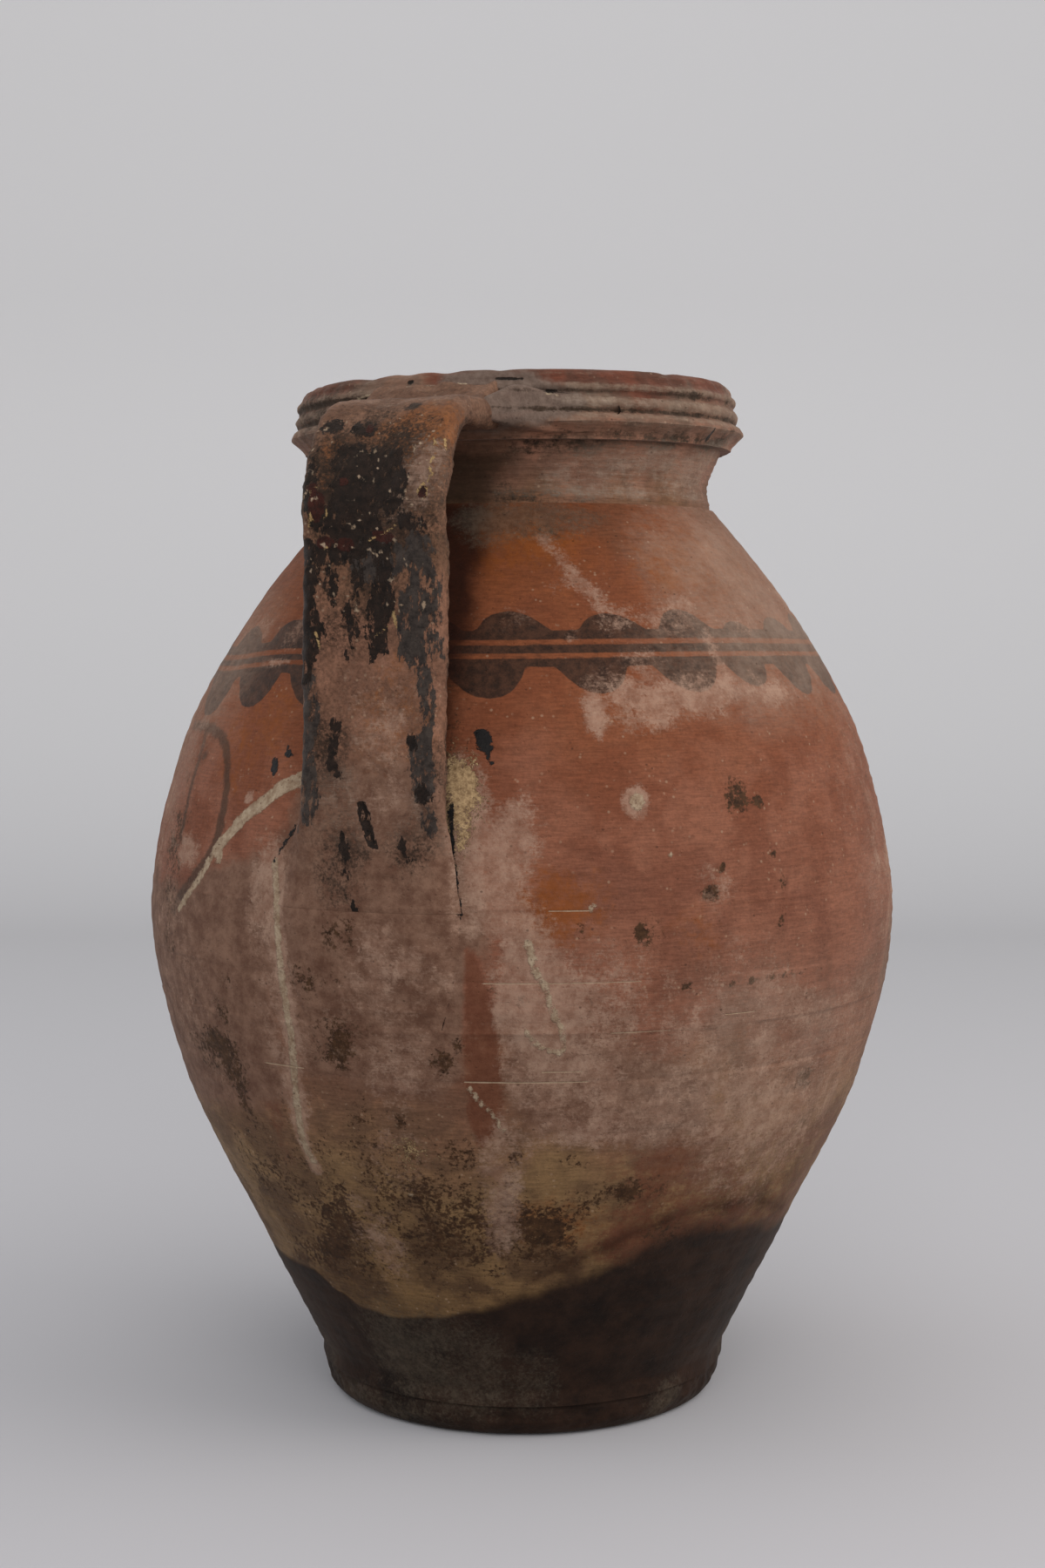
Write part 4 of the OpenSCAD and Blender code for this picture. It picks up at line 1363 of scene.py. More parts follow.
@dataclass
class Body:
    """The two thrown halves and the base disc."""

    throwing: Throwing
    lean: Lean
    marks: WallMarks
    finish: bpy.types.Material
    row: float = 2.1
    steps: int = 456
    inner_row: float = 9.0
    foot_sag: float = 0.8
    outer: Outline = field(init=False)
    inner: Outline = field(init=False)

    def __post_init__(self) -> None:
        """Reads the outlines from the frame."""
        seat, _ = self.span("lower_body")
        seam, _ = self.span("upper_body")
        root, _ = self.span("neck")
        _, lap = self.span("lower_body")
        self.outer = Outline.read(("lower_body", seat, seam), ("upper_body", seam, root))
        self.inner = Outline.read(("lower_body", seat, lap), ("upper_body", lap, root), inside=True)

    def span(self, node: str) -> tuple:
        """Returns the lowest and highest height of a node in mm."""
        low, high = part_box(node)
        return low[2] / MM, high[2] / MM

    def dress(self, piece: bpy.types.Object, node: str) -> None:
        """Shapes and paints one turned wall.

        Args:
            piece: The piece.
            node: The node that it stands for.
        """
        bearing, radius, height = polar(coordinates(piece))
        outside = radius > self.outer.radius(height) - 1.0
        shift = np.where(outside, self.throwing.radial(bearing, height), 0.0)
        places = from_polar(bearing, radius + shift, height)
        place_points(piece, self.lean.apply(places))
        carry(piece, self.marks.values(jar_skin(bearing, height, radius, self.outer.stretch(height))))
        stand_for(piece, node, self.finish)

    def wall(self, name: str, node: str, low: float, high: float, slot: str) -> None:
        """Builds one thrown half.

        Args:
            name: Name of the piece.
            node: The node that it stands for.
            low: Lowest height.
            high: Highest height.
            slot: The record's material slot; not used.
        """
        fine = [mark.points[0][1] + step * 0.35 for mark in self.marks.scars for step in (-2, -1, 0, 1, 2)]
        rise = sorted([z for z in spaced(low, high, self.row * 0.86)[1:-1]
                       if all(abs(z - level) > 0.3 for level in fine)]
                      + [z for z in fine if low < z < high] + [low, high])
        fall = spaced(high, low, self.inner_row)
        profile = [(float(self.outer.radius(z)), z) for z in rise]
        profile += [(float(self.inner.radius(z)), z) for z in fall]
        self.dress(turned(name, profile, self.steps), node)

    def base(self) -> None:
        """Builds the base disc, with its rounded heel and the floor inside."""
        low, high = self.span("base_disc")
        heel = Outline.read(("base_disc", low, high))
        seat = self.span("lower_body")[0]
        floor_r = float(self.inner.radius(seat))
        rim = [(float(heel.radius(z)), z) for z in spaced(low + 0.15, seat - 1.2, 0.9)]
        under = rim[0][0] - 1.0
        profile = ([(0.0, low)] + [(under * i / 9, low) for i in range(1, 10)] + rim
                   + [(rim[-1][0] - 0.25, seat), (floor_r, seat), (floor_r, high)]
                   + [(floor_r * i / 6, high) for i in range(5, 0, -1)] + [(0.0, high)])
        piece = turned("base", profile, 384)
        bearing, radius, height = polar(coordinates(piece))
        side = smooth(60.0, 90.0, radius) * smooth(0.0, 5.0, height) * smooth(seat + 0.5, seat - 1.5, height)
        worn = -0.5 + 0.6 * swell(from_polar(bearing, radius, height), 14.0, 8)
        worn += 0.35 * swell(from_polar(bearing, radius, height), 5.0, 9)
        places = from_polar(bearing, radius + side * np.minimum(worn, 0.0), height)
        place_points(piece, places)
        carry(piece, self.marks.values(jar_skin(bearing, height, radius, np.ones(len(height)))))
        stand_for(piece, "base_disc", self.finish)

    def build(self) -> None:
        """Builds the base and both halves of the wall."""
        self.base()
        low, _ = self.span("lower_body")
        seam, root = self.span("upper_body")
        root = self.span("neck")[0]
        self.wall("lower_wall", "lower_body", low, seam, "mottled_wall")
        self.wall("upper_wall", "upper_body", seam, root, "painted_shoulder")


@dataclass
class Mouth:
    """The neck and the moulded collar round the mouth."""

    throwing: Throwing
    lean: Lean
    finish: bpy.types.Material
    steps: int = 448
    collar_middle: float = 91.0
    groove_floor: tuple = ((457.0, 107.0), (460.7, 104.5), (468.7, 103.7), (475.0, 102.9), (480.0, 97.0))
    chips: tuple = ((-52, 3.0, 1.3), (-44, 2.0, 0.8), (-20, 4.0, 1.2), (-8, 2.5, 0.7), (3, 3.0, 1.0),
                    (17, 2.0, 0.6), (64, 2.5, 0.6), (100, 4.0, 0.8), (151, 3.0, 1.0), (196, 5.0, 1.2),
                    (248, 3.0, 0.9))
    soil: tuple = (
        Spot(86, 452, 10, 5, full=0.7, soft=3), Spot(25, 424, 26, 5, full=0.5, soft=4),
        Spot(26, 446, 24, 5, full=0.45, soft=4), Spot(58, 450, 30, 3, full=0.45, soft=3),
        Spot(-35, 466, 50, 12, full=0.45, soft=6), Spot(72, 470, 14, 2, full=0.5, soft=1.5),
        # The two thin rings all round darken the collar along its grooves.
        Spot(0, 461.5, 200, 0.8, full=0.6, soft=0.8), Spot(0, 469.7, 200, 0.8, full=0.5, soft=0.8),
        Spot(150, 461.5, 200, 0.8, full=0.6, soft=0.8), Spot(250, 469.7, 200, 0.8, full=0.5, soft=0.8),
    )
    smear: tuple = (
        Patch(((2, 480), (18, 480), (25, 477.5), (30, 473), (36, 470), (39, 464), (35, 458), (26, 455),
               (14, 452), (2, 456))),
    )
    # Patches on the neck under each strap's level run: painted shade.
    shade_and_grime: tuple = (
        Patch(((-9, 447), (18, 447), (20, 440), (14, 430), (11, 418), (-9, 418))),
        Patch(((170, 447), (198, 447), (192, 418), (170, 418))),
    )
    warm: tuple = (
        Run(((14, 456.5), (21.5, 458.5), (30, 464)), 1.2, 0.8),
    )
    lime: tuple = (
        Run(((-22, 470), (-12, 472.5), (9, 473.5)), 0.5, 0.4), Spot(28.6, 468.5, 1.2, 0.8),
        Spot(30.8, 467.6, 1.0, 0.6),
    )
    pits: tuple = (
        Spot(-5.9, 475.6, 1.6, 1.1), Spot(-5.4, 468.6, 1.8, 1.5), Run(((16.2, 475.6), (22.6, 475.2)), 0.7, 0.5),
        Spot(29.4, 469.6, 3.0, 0.9), Spot(78, 453, 1.4, 3.0),
    )
    bloom: tuple = (
        Spot(55, 440, 26, 8, full=0.4, soft=5), Spot(78, 436, 20, 8, full=0.45, soft=5),
        Spot(34, 432, 14, 8, full=0.35, soft=5), Spot(60, 426, 50, 2.2, full=0.5, soft=2),
        Spot(90, 448, 16, 7, full=0.4, soft=4), Spot(42, 466, 20, 3, full=0.4, soft=2),
    )

    def outer_radius(self, height: np.ndarray) -> np.ndarray:
        """Outer radius of the collar, with a hollow under its flange and shallow grooves.

        Args:
            height: Heights to read.

        Returns:
            The radius at each height.
        """
        low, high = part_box("rim_collar")
        outline = Outline.read(("rim_collar", low[2] / MM, high[2] / MM), split=self.collar_middle)
        radius = np.interp(height, outline.heights, outline.radii)
        foot, reach = outline.radii[0], outline.radii.max()
        tip = outline.heights[np.argmax(outline.radii)]
        climb = np.clip((height - outline.heights[0]) / (tip - outline.heights[0]), 0.0, 1.0)
        hollow = foot + (reach - foot) * climb ** 1.35
        filled = np.interp(height, [at for at, _ in self.groove_floor], [r for _, r in self.groove_floor])
        return np.where(height < tip, np.minimum(radius, hollow), np.maximum(radius, filled))

    def profile(self) -> list:
        """Returns the collar's closed profile: outside, lip, bore and underside."""
        low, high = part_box("rim_collar")
        low, high = low[2] / MM, high[2] / MM
        bore = Outline.read(("rim_collar", low, high), inside=True, split=self.collar_middle)
        levels = spaced(low, high - 0.9, 0.62)
        outside = list(zip(self.outer_radius(np.array(levels)).tolist(), levels))
        crown = outside[-1][0]
        lip = [(crown - 0.9, high - 0.35), (crown - 2.2, high), (crown - 4.0, high)]
        inner_lip = [(float(bore.radius(high)) + 1.2 - i * 0.4, high - 0.08 * i * i) for i in range(4)]
        inside = [(float(bore.radius(z)), z) for z in spaced(high - 1.2, low, 2.0)]
        return outside + lip + inner_lip + inside

    def neck(self) -> None:
        """Builds the neck."""
        low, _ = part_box("neck")
        high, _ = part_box("rim_collar")
        low, high = low[2] / MM, high[2] / MM
        outer = Outline.read(("neck", low, high))
        inner = Outline.read(("neck", low, high), inside=True)
        profile = [(float(outer.radius(min(z, high - 0.2))), z) for z in spaced(low, high, 0.8)]
        profile += [(float(inner.radius(max(z, low + 8))), z) for z in spaced(high, low, 5.0)]
        piece = turned("neck_wall", profile, self.steps)
        bearing, radius, height = polar(coordinates(piece))
        outside = radius > outer.radius(np.minimum(height, high - 0.2)) - 1.0
        fingers = 0.28 * np.sin(height * 1.9) + 0.2 * np.sin(height * 3.3 + np.radians(bearing))
        shift = np.where(outside, self.throwing.radial(bearing, height) * 0.5 + fingers * 0.5 - 0.25, 0.0)
        place_points(piece, self.lean.apply(from_polar(bearing, radius + shift, height)))
        self.paint(piece, bearing, radius, height, np.zeros(len(height)))
        stand_for(piece, "neck", self.finish)

    def paint(self, piece: bpy.types.Object, bearing: np.ndarray, radius: np.ndarray, height: np.ndarray,
              crest: np.ndarray) -> None:
        """Gives a piece the values that the mouth's finish reads.

        Args:
            piece: The piece.
            bearing: Bearings of its points.
            radius: Radii of its points.
            height: Heights of its points.
            crest: How much each point stands out on a bead.
        """
        skin = jar_skin(bearing, height, radius, np.ones(len(height)))
        opposite = jar_skin(bearing + 180.0, height, radius, np.ones(len(height)))
        carry(piece, {Layer.SOIL: cover_of(self.soil, skin), Layer.BLOOM: cover_of(self.bloom, skin),
                      Layer.CREST: crest, Layer.WARM: depth_of(self.warm, skin),
                      Layer.SHADE_AND_GRIME: depth_of(self.shade_and_grime, skin),
                      Layer.SMEAR: np.maximum(depth_of(self.smear, skin), depth_of(self.smear, opposite)),
                      Layer.LIME: depth_of(self.lime, skin), Layer.TAR: depth_of(self.pits, skin)})

    def crest(self, radius: np.ndarray, height: np.ndarray) -> np.ndarray:
        """Returns how far each point stands out on one of the collar's beads, from 0 to 0.6."""
        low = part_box("rim_collar")[0][2] / MM
        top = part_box("rim_collar")[1][2] / MM
        trend = np.interp(height, [low, low + 8, low + 12, top - 5, top], [98, 107, 103.6, 102.6, 99])
        return 0.6 * smooth(0.6, 2.0, radius - trend) * smooth(low + 4, low + 9, height)

    def collar(self) -> None:
        """Builds the collar and chips its lip."""
        piece = turned("collar", self.profile(), self.steps)
        bearing, radius, height = polar(coordinates(piece))
        top = height.max()
        places = from_polar(bearing, radius, height)
        lip = smooth(top - 5.0, top - 0.5, height)
        drop = np.zeros(len(height))
        for at, wide, deep in self.chips:
            drop += deep * np.exp(-(wrap(bearing - at) / wide) ** 2)
        outer = smooth(86.0, 100.0, radius)
        wear = 0.35 + 0.4 * swell(places, 16.0, 11) + 0.35 * swell(places, 5.0, 12)
        shift = -np.clip(wear, 0.0, 1.0) * outer
        places = from_polar(bearing, radius + shift, height - lip * drop * (0.3 + 0.7 * outer))
        place_points(piece, self.lean.apply(places))
        self.paint(piece, bearing, radius, height, self.crest(radius, height))
        stand_for(piece, "rim_collar", self.finish)

    def build(self) -> None:
        """Builds the neck and the collar."""
        self.neck()
        self.collar()


@dataclass(frozen=True)
class StrapPath:
    """Middle line of a strap, from behind the collar's flange to the end of its foot."""

    outer: Outline
    seat_r: float = 99.0
    bend_r: float = 129.0
    reach_r: float = 171.0
    root_z: float = 459.0
    bend_h: float = 56.0
    land_z: float = 300.0
    end_z: float = 248.0
    thick: float = 14.0
    foot_thick: float = 4.5
    width: float = 65.0
    flare: float = 4.5
    wall_gap: float = 0.2

    def stations(self) -> list:
        """Returns radius, height, heading, thickness, width and wrap at stations along the strap."""
        rows = [(self.seat_r + (self.bend_r - self.seat_r) * i / 10, self.root_z, 0.0, self.thick, self.width, 0.0)
                for i in range(10)]
        run = self.reach_r - self.bend_r
        for step in range(31):
            a = math.radians(step * 3)
            rows.append((self.bend_r + run * math.sin(a), self.root_z - self.bend_h * (1 - math.cos(a)),
                         math.degrees(math.atan2(self.bend_h * math.sin(a), run * math.cos(a))),
                         self.thick, self.width, 0.0))
        land_r = float(self.outer.radius(self.land_z)) + self.wall_gap + self.thick / 2
        for i in range(1, 13):
            t = i / 12
            rows.append((self.reach_r + (land_r - self.reach_r) * t * t,
                         self.root_z - self.bend_h + (self.land_z - self.root_z + self.bend_h) * t,
                         90.0, self.thick, self.width, 0.0))
        for i in range(1, 13):
            u = i / 12
            z = self.land_z + (self.end_z - self.land_z) * u
            thick = self.thick + (self.foot_thick - self.thick) * u
            rows.append((float(self.outer.radius(z)) + self.wall_gap + thick / 2, z, 90.0, thick,
                         self.width + 2 * self.flare * u * u, u * u * (3 - 2 * u)))
        return rows


@dataclass
class Handle:
    """One strap with the clay worked round its root and its foot."""

    name: str
    half_turn: bool
    body: Body
    mouth: Mouth
    strap_finish: bpy.types.Material
    seed: int
    along: float = 1.25
    flare_left: float = 0.24
    flare_right: float = 0.05
    around: int = 132
    tar: tuple = (
        Spot(-22, 64, 6, 4), Spot(-8, 66, 7, 5), Spot(-9, 84, 10, 9), Spot(3, 84, 10, 7),
        Spot(-4, 98, 13, 13), Spot(-12, 112, 14, 9), Spot(8, 98, 8, 12), Spot(-27, 98, 4, 16),
        Spot(-2, 116, 8, 8), Spot(17, 113, 8, 4, 20), Spot(-14, 124, 13, 6),
        Patch(((-33, 118), (-24, 120), (-23, 150), (-20, 156), (-24, 172), (-27, 178), (-32, 180))),
        Patch(((-1, 120), (11, 122), (9, 138), (12, 146), (7, 158), (9, 166), (0, 171), (-1, 150), (2, 138))),
        Spot(-17, 138, 2.4, 7), Spot(-6, 137, 2.2, 8), Spot(-8, 154, 3, 6), Spot(-9, 164, 1.5, 5),
        Spot(-15, 197, 2.6, 2.6), Spot(-15.5, 205, 2.2, 4.5), Spot(-16, 213, 2.4, 1.8), Spot(-13, 217, 2, 1.5),
        Run(((-9.6, 242), (-8.4, 252), (-6.4, 262), (-4, 273)), 1.1, 0.7), Run(((15, 243), (18, 252)), 1.1, 0.6),
        Spot(25, 224, 4, 4), Spot(19, 202, 2.5, 3),
    )
    ash: tuple = (
        Patch(((12, 122), (20, 116), (28, 118), (31, 140), (31, 168), (27, 171), (18, 171), (12, 168),
               (13, 152), (17, 140))),
        Patch(((22, 172), (30, 172), (30, 196), (26, 200), (23, 188))),
        Patch(((18, 201), (29, 198), (31, 214), (29, 226), (22, 227), (18, 216))),
        Patch(((-33, 178), (-24, 172), (-22, 195), (-24, 212), (-22, 226), (-24, 238), (-30, 241))),
        Spot(27, 236, 3, 7, 15), Spot(4, 128, 16, 9),
    )
    blister: tuple = (
        Spot(-24, 105, 4, 7), Spot(-26, 97, 2.2, 3), Spot(6, 119, 5, 2.6, 12), Spot(-20, 121, 4, 2.5),
        Spot(24, 100, 2.4, 3), Spot(-5, 66, 2, 2.4), Spot(-12, 94, 2, 2), Spot(-11, 122, 4, 3),
    )
    gouge: Patch = Patch(((-4.5, 228), (-1, 227), (1.5, 234), (3, 241), (5.5, 247.5), (1, 246), (-1.5, 241),
                          (-3.5, 235)))
    scar: tuple = (
        Run(((-27, 100), (-25.5, 96), (-22, 97)), 0.35, 0.2), Run(((-28, 114), (-27, 108), (-25, 112)), 0.4, 0.3),
        Run(((-20, 104), (-19, 109), (-21, 112)), 0.3, 0.3), Run(((0, 120), (4, 118), (8, 117), (12, 114)), 0.5, 0.3),
        Run(((22, 98), (24, 96), (26, 99), (25, 103), (22, 102), (21.6, 99)), 0.5, 0.4),
        Run(((26, 74), (28, 77), (26, 80)), 0.5, 0.4), Run(((31, 74), (31.5, 79)), 0.4, 0.4),
        Run(((28, 84), (26, 88), (28, 92), (26, 95)), 0.6, 0.4), Run(((-21, 124), (-18, 122)), 0.4, 0.2),
        Run(((2, 160), (8, 156)), 0.2, 0.2), Run(((11, 150), (12, 156)), 0.8, 0.5), Run(((-24, 158), (-22, 165)), 0.5, 0.3),
    )
    warm: tuple = (
        Spot(22, 62, 14, 12, full=0.9, soft=6), Spot(20, 78, 12, 12, full=0.7, soft=6),
        Spot(-20, 84, 4, 12, full=0.7, soft=3), Spot(6, 70, 14, 8, full=0.35, soft=5),
        Spot(12, 190, 22, 30, full=0.2, soft=10),
    )
    soil: tuple = (
        Spot(0, 92, 34, 34, full=0.7, soft=14), Spot(-8, 140, 24, 26, full=0.4, soft=10),
        Spot(10, 50, 3.2, 3.6, full=1.0, soft=1.2), Spot(-27, 205, 5, 30, full=0.4, soft=4),
        Spot(26, 215, 6, 24, full=0.4, soft=5), Spot(-9, 250, 9, 22, full=0.45, soft=6),
        Spot(16, 248, 7, 12, full=0.4, soft=5), Spot(-15, 208, 8, 16, full=0.35, soft=5),
        Spot(0, 30, 34, 12, full=0.3, soft=8),
    )
    bloom: tuple = (
        Spot(8, 200, 14, 16, full=0.35, soft=8), Spot(2, 240, 28, 26, full=0.3, soft=10),
        Spot(24, 88, 8, 14, full=0.5, soft=5), Spot(0, 40, 34, 8, full=0.3, soft=6),
        Spot(10, 100, 12, 14, full=0.3, soft=6), Spot(0, 180, 24, 10, full=0.2, soft=6),
    )

    def flecks(self) -> tuple:
        """Returns small cream flecks scattered over the sooted part of the strap's face."""
        draw = random.Random(self.seed)
        places = [(draw.uniform(-31, 31), draw.uniform(58, 150)) for _ in range(120)]
        return tuple(Spot(x, y, draw.uniform(0.3, 0.8), draw.uniform(0.3, 1.1), draw.uniform(0, 90))
                     for x, y in places)

    def section(self, turn: np.ndarray, width: np.ndarray, thick: np.ndarray) -> tuple:
        """Rounded cross-section of the strap.

        Args:
            turn: Share of the way round the section, from 0 to 1.
            width: Width at each point.
            thick: Thickness at each point.

        Returns:
            Distance across and distance out from the middle line.
        """
        corner = np.minimum(5.5, thick / 2 - 0.1)
        flat, side, arc = width - 2 * corner, thick - 2 * corner, math.pi / 2 * corner
        total = 2 * flat + 2 * side + 4 * arc
        walk = (turn % 1.0) * total
        across = np.zeros_like(walk)
        out = np.zeros_like(walk)
        here = np.zeros_like(walk)
        pieces = (("face", flat, 1), ("corner", arc, 0), ("side", side, 1), ("corner", arc, 1),
                  ("face", flat, -1), ("corner", arc, 2), ("side", side, -1), ("corner", arc, 3))
        for kind, length, code in pieces:
            local = np.clip((walk - here) / np.maximum(length, 1e-6), 0, 1)
            on = (walk >= here - 1e-9) & (walk <= here + length + 1e-9)
            if kind == "face":
                x = (local - 0.5) * flat * code
                y = thick / 2 * code
            elif kind == "side":
                x = width / 2 * code
                y = (0.5 - local) * side * code
            else:
                a = math.pi / 2 * (1 - local) - code * math.pi / 2
                sx = 1 if code in (0, 1) else -1
                sy = 1 if code in (0, 3) else -1
                x = sx * (width / 2 - corner) + corner * np.cos(a)
                y = sy * (thick / 2 - corner) + corner * np.sin(a)
            across = np.where(on, x, across)
            out = np.where(on, y, out)
            here = here + length
        return across, out

    def strap(self) -> None:
        """Builds the strap as a sheet of cells rolled round its section and laid along its path."""
        path = StrapPath(self.body.outer)
        rows = np.array(path.stations())
        heading = np.radians(rows[:, 2])
        face_r = rows[:, 0] + rows[:, 3] / 2 * np.sin(heading)
        face_z = rows[:, 1] + rows[:, 3] / 2 * np.cos(heading)
        walk = np.concatenate([[0], np.cumsum(np.hypot(np.diff(face_r), np.diff(face_z)))])
        count = int(walk[-1] / self.along)
        piece, along, turn = sheet(self.name + "_strap_clay", count, self.around)
        length = along * walk[-1]
        r, z, dip, thick, width, wrapped = (np.interp(length, walk, rows[:, i]) for i in range(6))
        dip = np.radians(dip)
        wrapped = np.maximum(wrapped, smooth(30.0, 5.0, length))
        across, out = self.section(turn, width, thick)
        outer_face = smooth(0.0, 3.0, out)
        spread_out = np.stack([across, length + self.seed * 400, out], axis=1)
        still = smooth(249.0, 262.0, z) + (dip < 1.5)
        relief = (0.3 * swell(spread_out, 30.0, self.seed) + 0.22 * swell(spread_out, 8.0, self.seed + 1)
                  + 0.16 * swell(spread_out, 3.2, self.seed + 2) - 0.6) * np.minimum(still, 1.0)
        hollow = -1.3 * np.cos(np.clip(across / width, -0.5, 0.5) * math.pi) ** 2 * outer_face
        hollow *= smooth(30, 60, length) * smooth(270, 215, length)
        skin = Skin(-across if self.half_turn else across, length, np.ones(len(across)),
                    np.ones(len(across)), False)
        gouge = depth_of((self.gouge,), skin)
        relief += -1.6 * smooth(-0.6, 2.2, gouge) * outer_face
        grow = 1 + relief / np.maximum(np.hypot(across, out), 3.0)
        level = np.where(np.abs(out) > 0, out * (1 + (relief + hollow) / np.maximum(np.abs(out), 2.0)), out)
        spread = across * np.where(np.abs(across) > width / 2 - 6, grow, 1.0)
        foot = smooth(296.0, 264.0, z) * (dip > 1.5)
        share = np.abs(across) / (width / 2)
        level = level - foot * (level + thick / 2) * np.minimum(share, 1.0) ** 5
        spread *= 1 + foot * np.where(across < 0, self.flare_left, self.flare_right)
        turn = 180.0 if self.half_turn else 0.0
        dents = self.body.throwing.radial(np.degrees(np.arcsin(spread / r)) + turn, z)
        r = r + dents * smooth(305.0, 270.0, z) * (dip > 1.5)
        root = smooth(25.0, 2.0, length) ** 1.4 * outer_face * smooth(0.0, 4.0, width / 2 - np.abs(across))
        level += root * (8.6 + 0.8 * swell(spread_out, 10.0, self.seed + 3))
        far = r + level * np.sin(dip)
        fall = far - np.sqrt(np.maximum(far * far - spread * spread, 0.0))
        places = np.stack([spread, wrapped * fall - far, z + level * np.cos(dip)], axis=1)
        places = self.press(places, length)
        if self.half_turn:
            places[:, :2] *= -1
        place_points(piece, self.body.lean.apply(places))
        facing = smooth(-3.0, 1.0, out)
        bearing, distance, height = polar(places)
        on_wall = self.body.marks.values(jar_skin(bearing, height, distance, np.ones(len(height))))
        low = smooth(296.0, 262.0, height)
        keep = np.where(facing > 0.5, 0.0, FAR)
        carry(piece, {
            Layer.SMEAR: on_wall[Layer.SMEAR],
            Layer.TAR: np.maximum(np.minimum(depth_of(self.tar, skin), 20), gouge * 3) + keep,
            Layer.ASH: depth_of(self.ash, skin) + keep,
            Layer.BLISTER: depth_of(self.blister, skin) + keep,
            Layer.SCAR: depth_of(self.scar, skin) + keep,
            Layer.LIME: depth_of(self.flecks(), skin) + keep,
            Layer.WARM: cover_of(self.warm, skin) * facing,
            # The face turned towards the wall gets an even dark film of 0.35: painted shade under the strap.
            Layer.SOIL: (np.maximum(cover_of(self.soil, skin) * facing, 0.35 * (1 - facing)) * (1 - low)
                         + low * np.maximum(on_wall[Layer.SOIL], cover_of(self.soil, skin))),
            Layer.BLOOM: cover_of(self.bloom, skin) * facing * (1 - low) + low * on_wall[Layer.BLOOM],
        })
        seal(piece)
        stand_for(piece, f"{self.name}_strap", self.strap_finish)

    def press(self, places: np.ndarray, length: np.ndarray) -> np.ndarray:
        """Keeps the strap out of the wall, and lets the end of its foot sink into it.

        Args:
            places: Points of the strap in front of the jar.
            length: How far along the strap each point lies.

        Returns:
            The moved points.
        """
        x, y, z = places.T
        wall = self.body.outer.radius(np.minimum(z, 420.0)) - 0.6
        sink = 0.3 + 1.2 * smooth(255, 272, length)
        least = np.where(z < 420.0, wall - sink, 0.0)
        y = np.minimum(y, -np.sqrt(np.maximum(least * least - x * x, 0.0)))
        return np.stack([x, y, z], axis=1)

    def wad(self) -> None:
        """Builds the lump of clay worked into the corner between the strap's side and the collar."""
        low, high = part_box(f"{self.name}_root_wad")
        start, run = 26.0, 50.0
        middle = (low[2] + high[2]) / 2 / MM
        half = (high[2] - low[2]) / 2 / MM
        piece, along, around = sheet(self.name + "_wad_clay", 40, 40)
        front = around <= 0.5
        turn = np.radians(np.where(front, 90 - 360 * around, -270 + 360 * around))
        x = start + run * along
        tall = half * (1 - 0.4 * along ** 0.7) * smooth(-0.22, 0.3, along)
        crest = 2.6 * np.exp(-((along - 0.22) / 0.2) ** 2) * np.maximum(np.sin(turn), 0.0) ** 2
        arch = 3.0 * np.exp(-((along - 0.2) / 0.2) ** 2) * np.maximum(-np.sin(turn), 0.0) ** 2
        z = middle + tall * np.sin(turn) + crest + arch
        skin = self.mouth.outer_radius(z)
        reach = 104.6 + 22.0 * np.maximum(1 - along / 0.7, 0.0) ** 1.9
        out = skin + (reach - skin) * np.maximum(np.cos(turn), 0.0) ** 0.7
        lumps = 0.8 * swell(np.stack([x, z, out], axis=1), 9.0, self.seed + 5) - 0.9
        outer = np.maximum(skin + 0.25, out + lumps * (0.5 + 0.5 * np.cos(turn)))
        outer = skin - 0.6 + (outer - skin + 0.6) * smooth(1.0, 0.75, along)
        radius = np.where(front, outer, skin - 0.9)
        places = np.stack([x, -np.sqrt(np.maximum(radius * radius - x * x, 0.0)), z], axis=1)
        if self.half_turn:
            places[:, :2] *= -1
        place_points(piece, self.body.lean.apply(places))
        bearing, distance, height = polar(places)
        plain = self.mouth.crest(distance, height) * smooth(0.35, 0.6, along)
        self.mouth.paint(piece, bearing, distance, height, plain)
        seal(piece)
        stand_for(piece, f"{self.name}_root_wad", self.mouth.finish)

    def pad(self) -> None:
        """Builds the clay smeared down the wall below the strap's foot."""
        low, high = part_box(f"{self.name}_foot_pad")
        top, tall = high[2] / MM, (high[2] - low[2]) / MM
        piece, along, around = sheet(self.name + "_pad_clay", 48, 96)
        front = around <= 0.5
        u = np.where(front, 1 - 4 * around, 4 * around - 3)
        ragged = 1 + 0.1 * swell(np.stack([u * 30, along * 0, along * 0], axis=1), 16.0, self.seed + 7)
        top, tall = top + 2.2, tall + 2.2
        drop = along * tall * np.minimum(ragged, 1.0)
        fall = np.clip((drop - 2.2) / (tall - 2.2), 0.0, 1.0)
        half = 37.0 + (24.0 - 37.0) * fall ** 2
        flare = 1 + np.where(u < 0, self.flare_left, self.flare_right) * (1 - fall * 0.6)
        x, z = half * u * flare, top - drop
        lift = (4.7 * (1 - np.abs(u) ** 5) * (1 - fall) ** 1.4
                + 0.5 * swell(np.stack([x, z, x * 0], axis=1), 12.0, self.seed + 8)
                * (1 - fall) * smooth(0.02, 0.2, fall) - 0.4 * smooth(247.5, 249.0, z))
        bearing = np.degrees(np.arcsin(x / self.body.outer.radius(z)))
        turn = 180.0 if self.half_turn else 0.0
        shift = self.body.throwing.radial(bearing + turn, z)
        edge = smooth(1.0, 0.96, np.abs(u)) * smooth(1.0, 0.9, along)
        skin = self.body.outer.radius(z) + shift
        radius = np.where(front, skin + np.maximum(lift, 0.2) * edge - 0.25 * (1 - edge), skin - 0.9)
        places = np.stack([x, -np.sqrt(radius * radius - x * x), z], axis=1)
        if self.half_turn:
            places[:, :2] *= -1
        place_points(piece, places)
        bearing, distance, height = polar(places)
        values = self.body.marks.values(jar_skin(bearing, height, distance, self.body.outer.stretch(height)))
        carry(piece, values)
        seal(piece)
        stand_for(piece, f"{self.name}_foot_pad", self.body.finish)

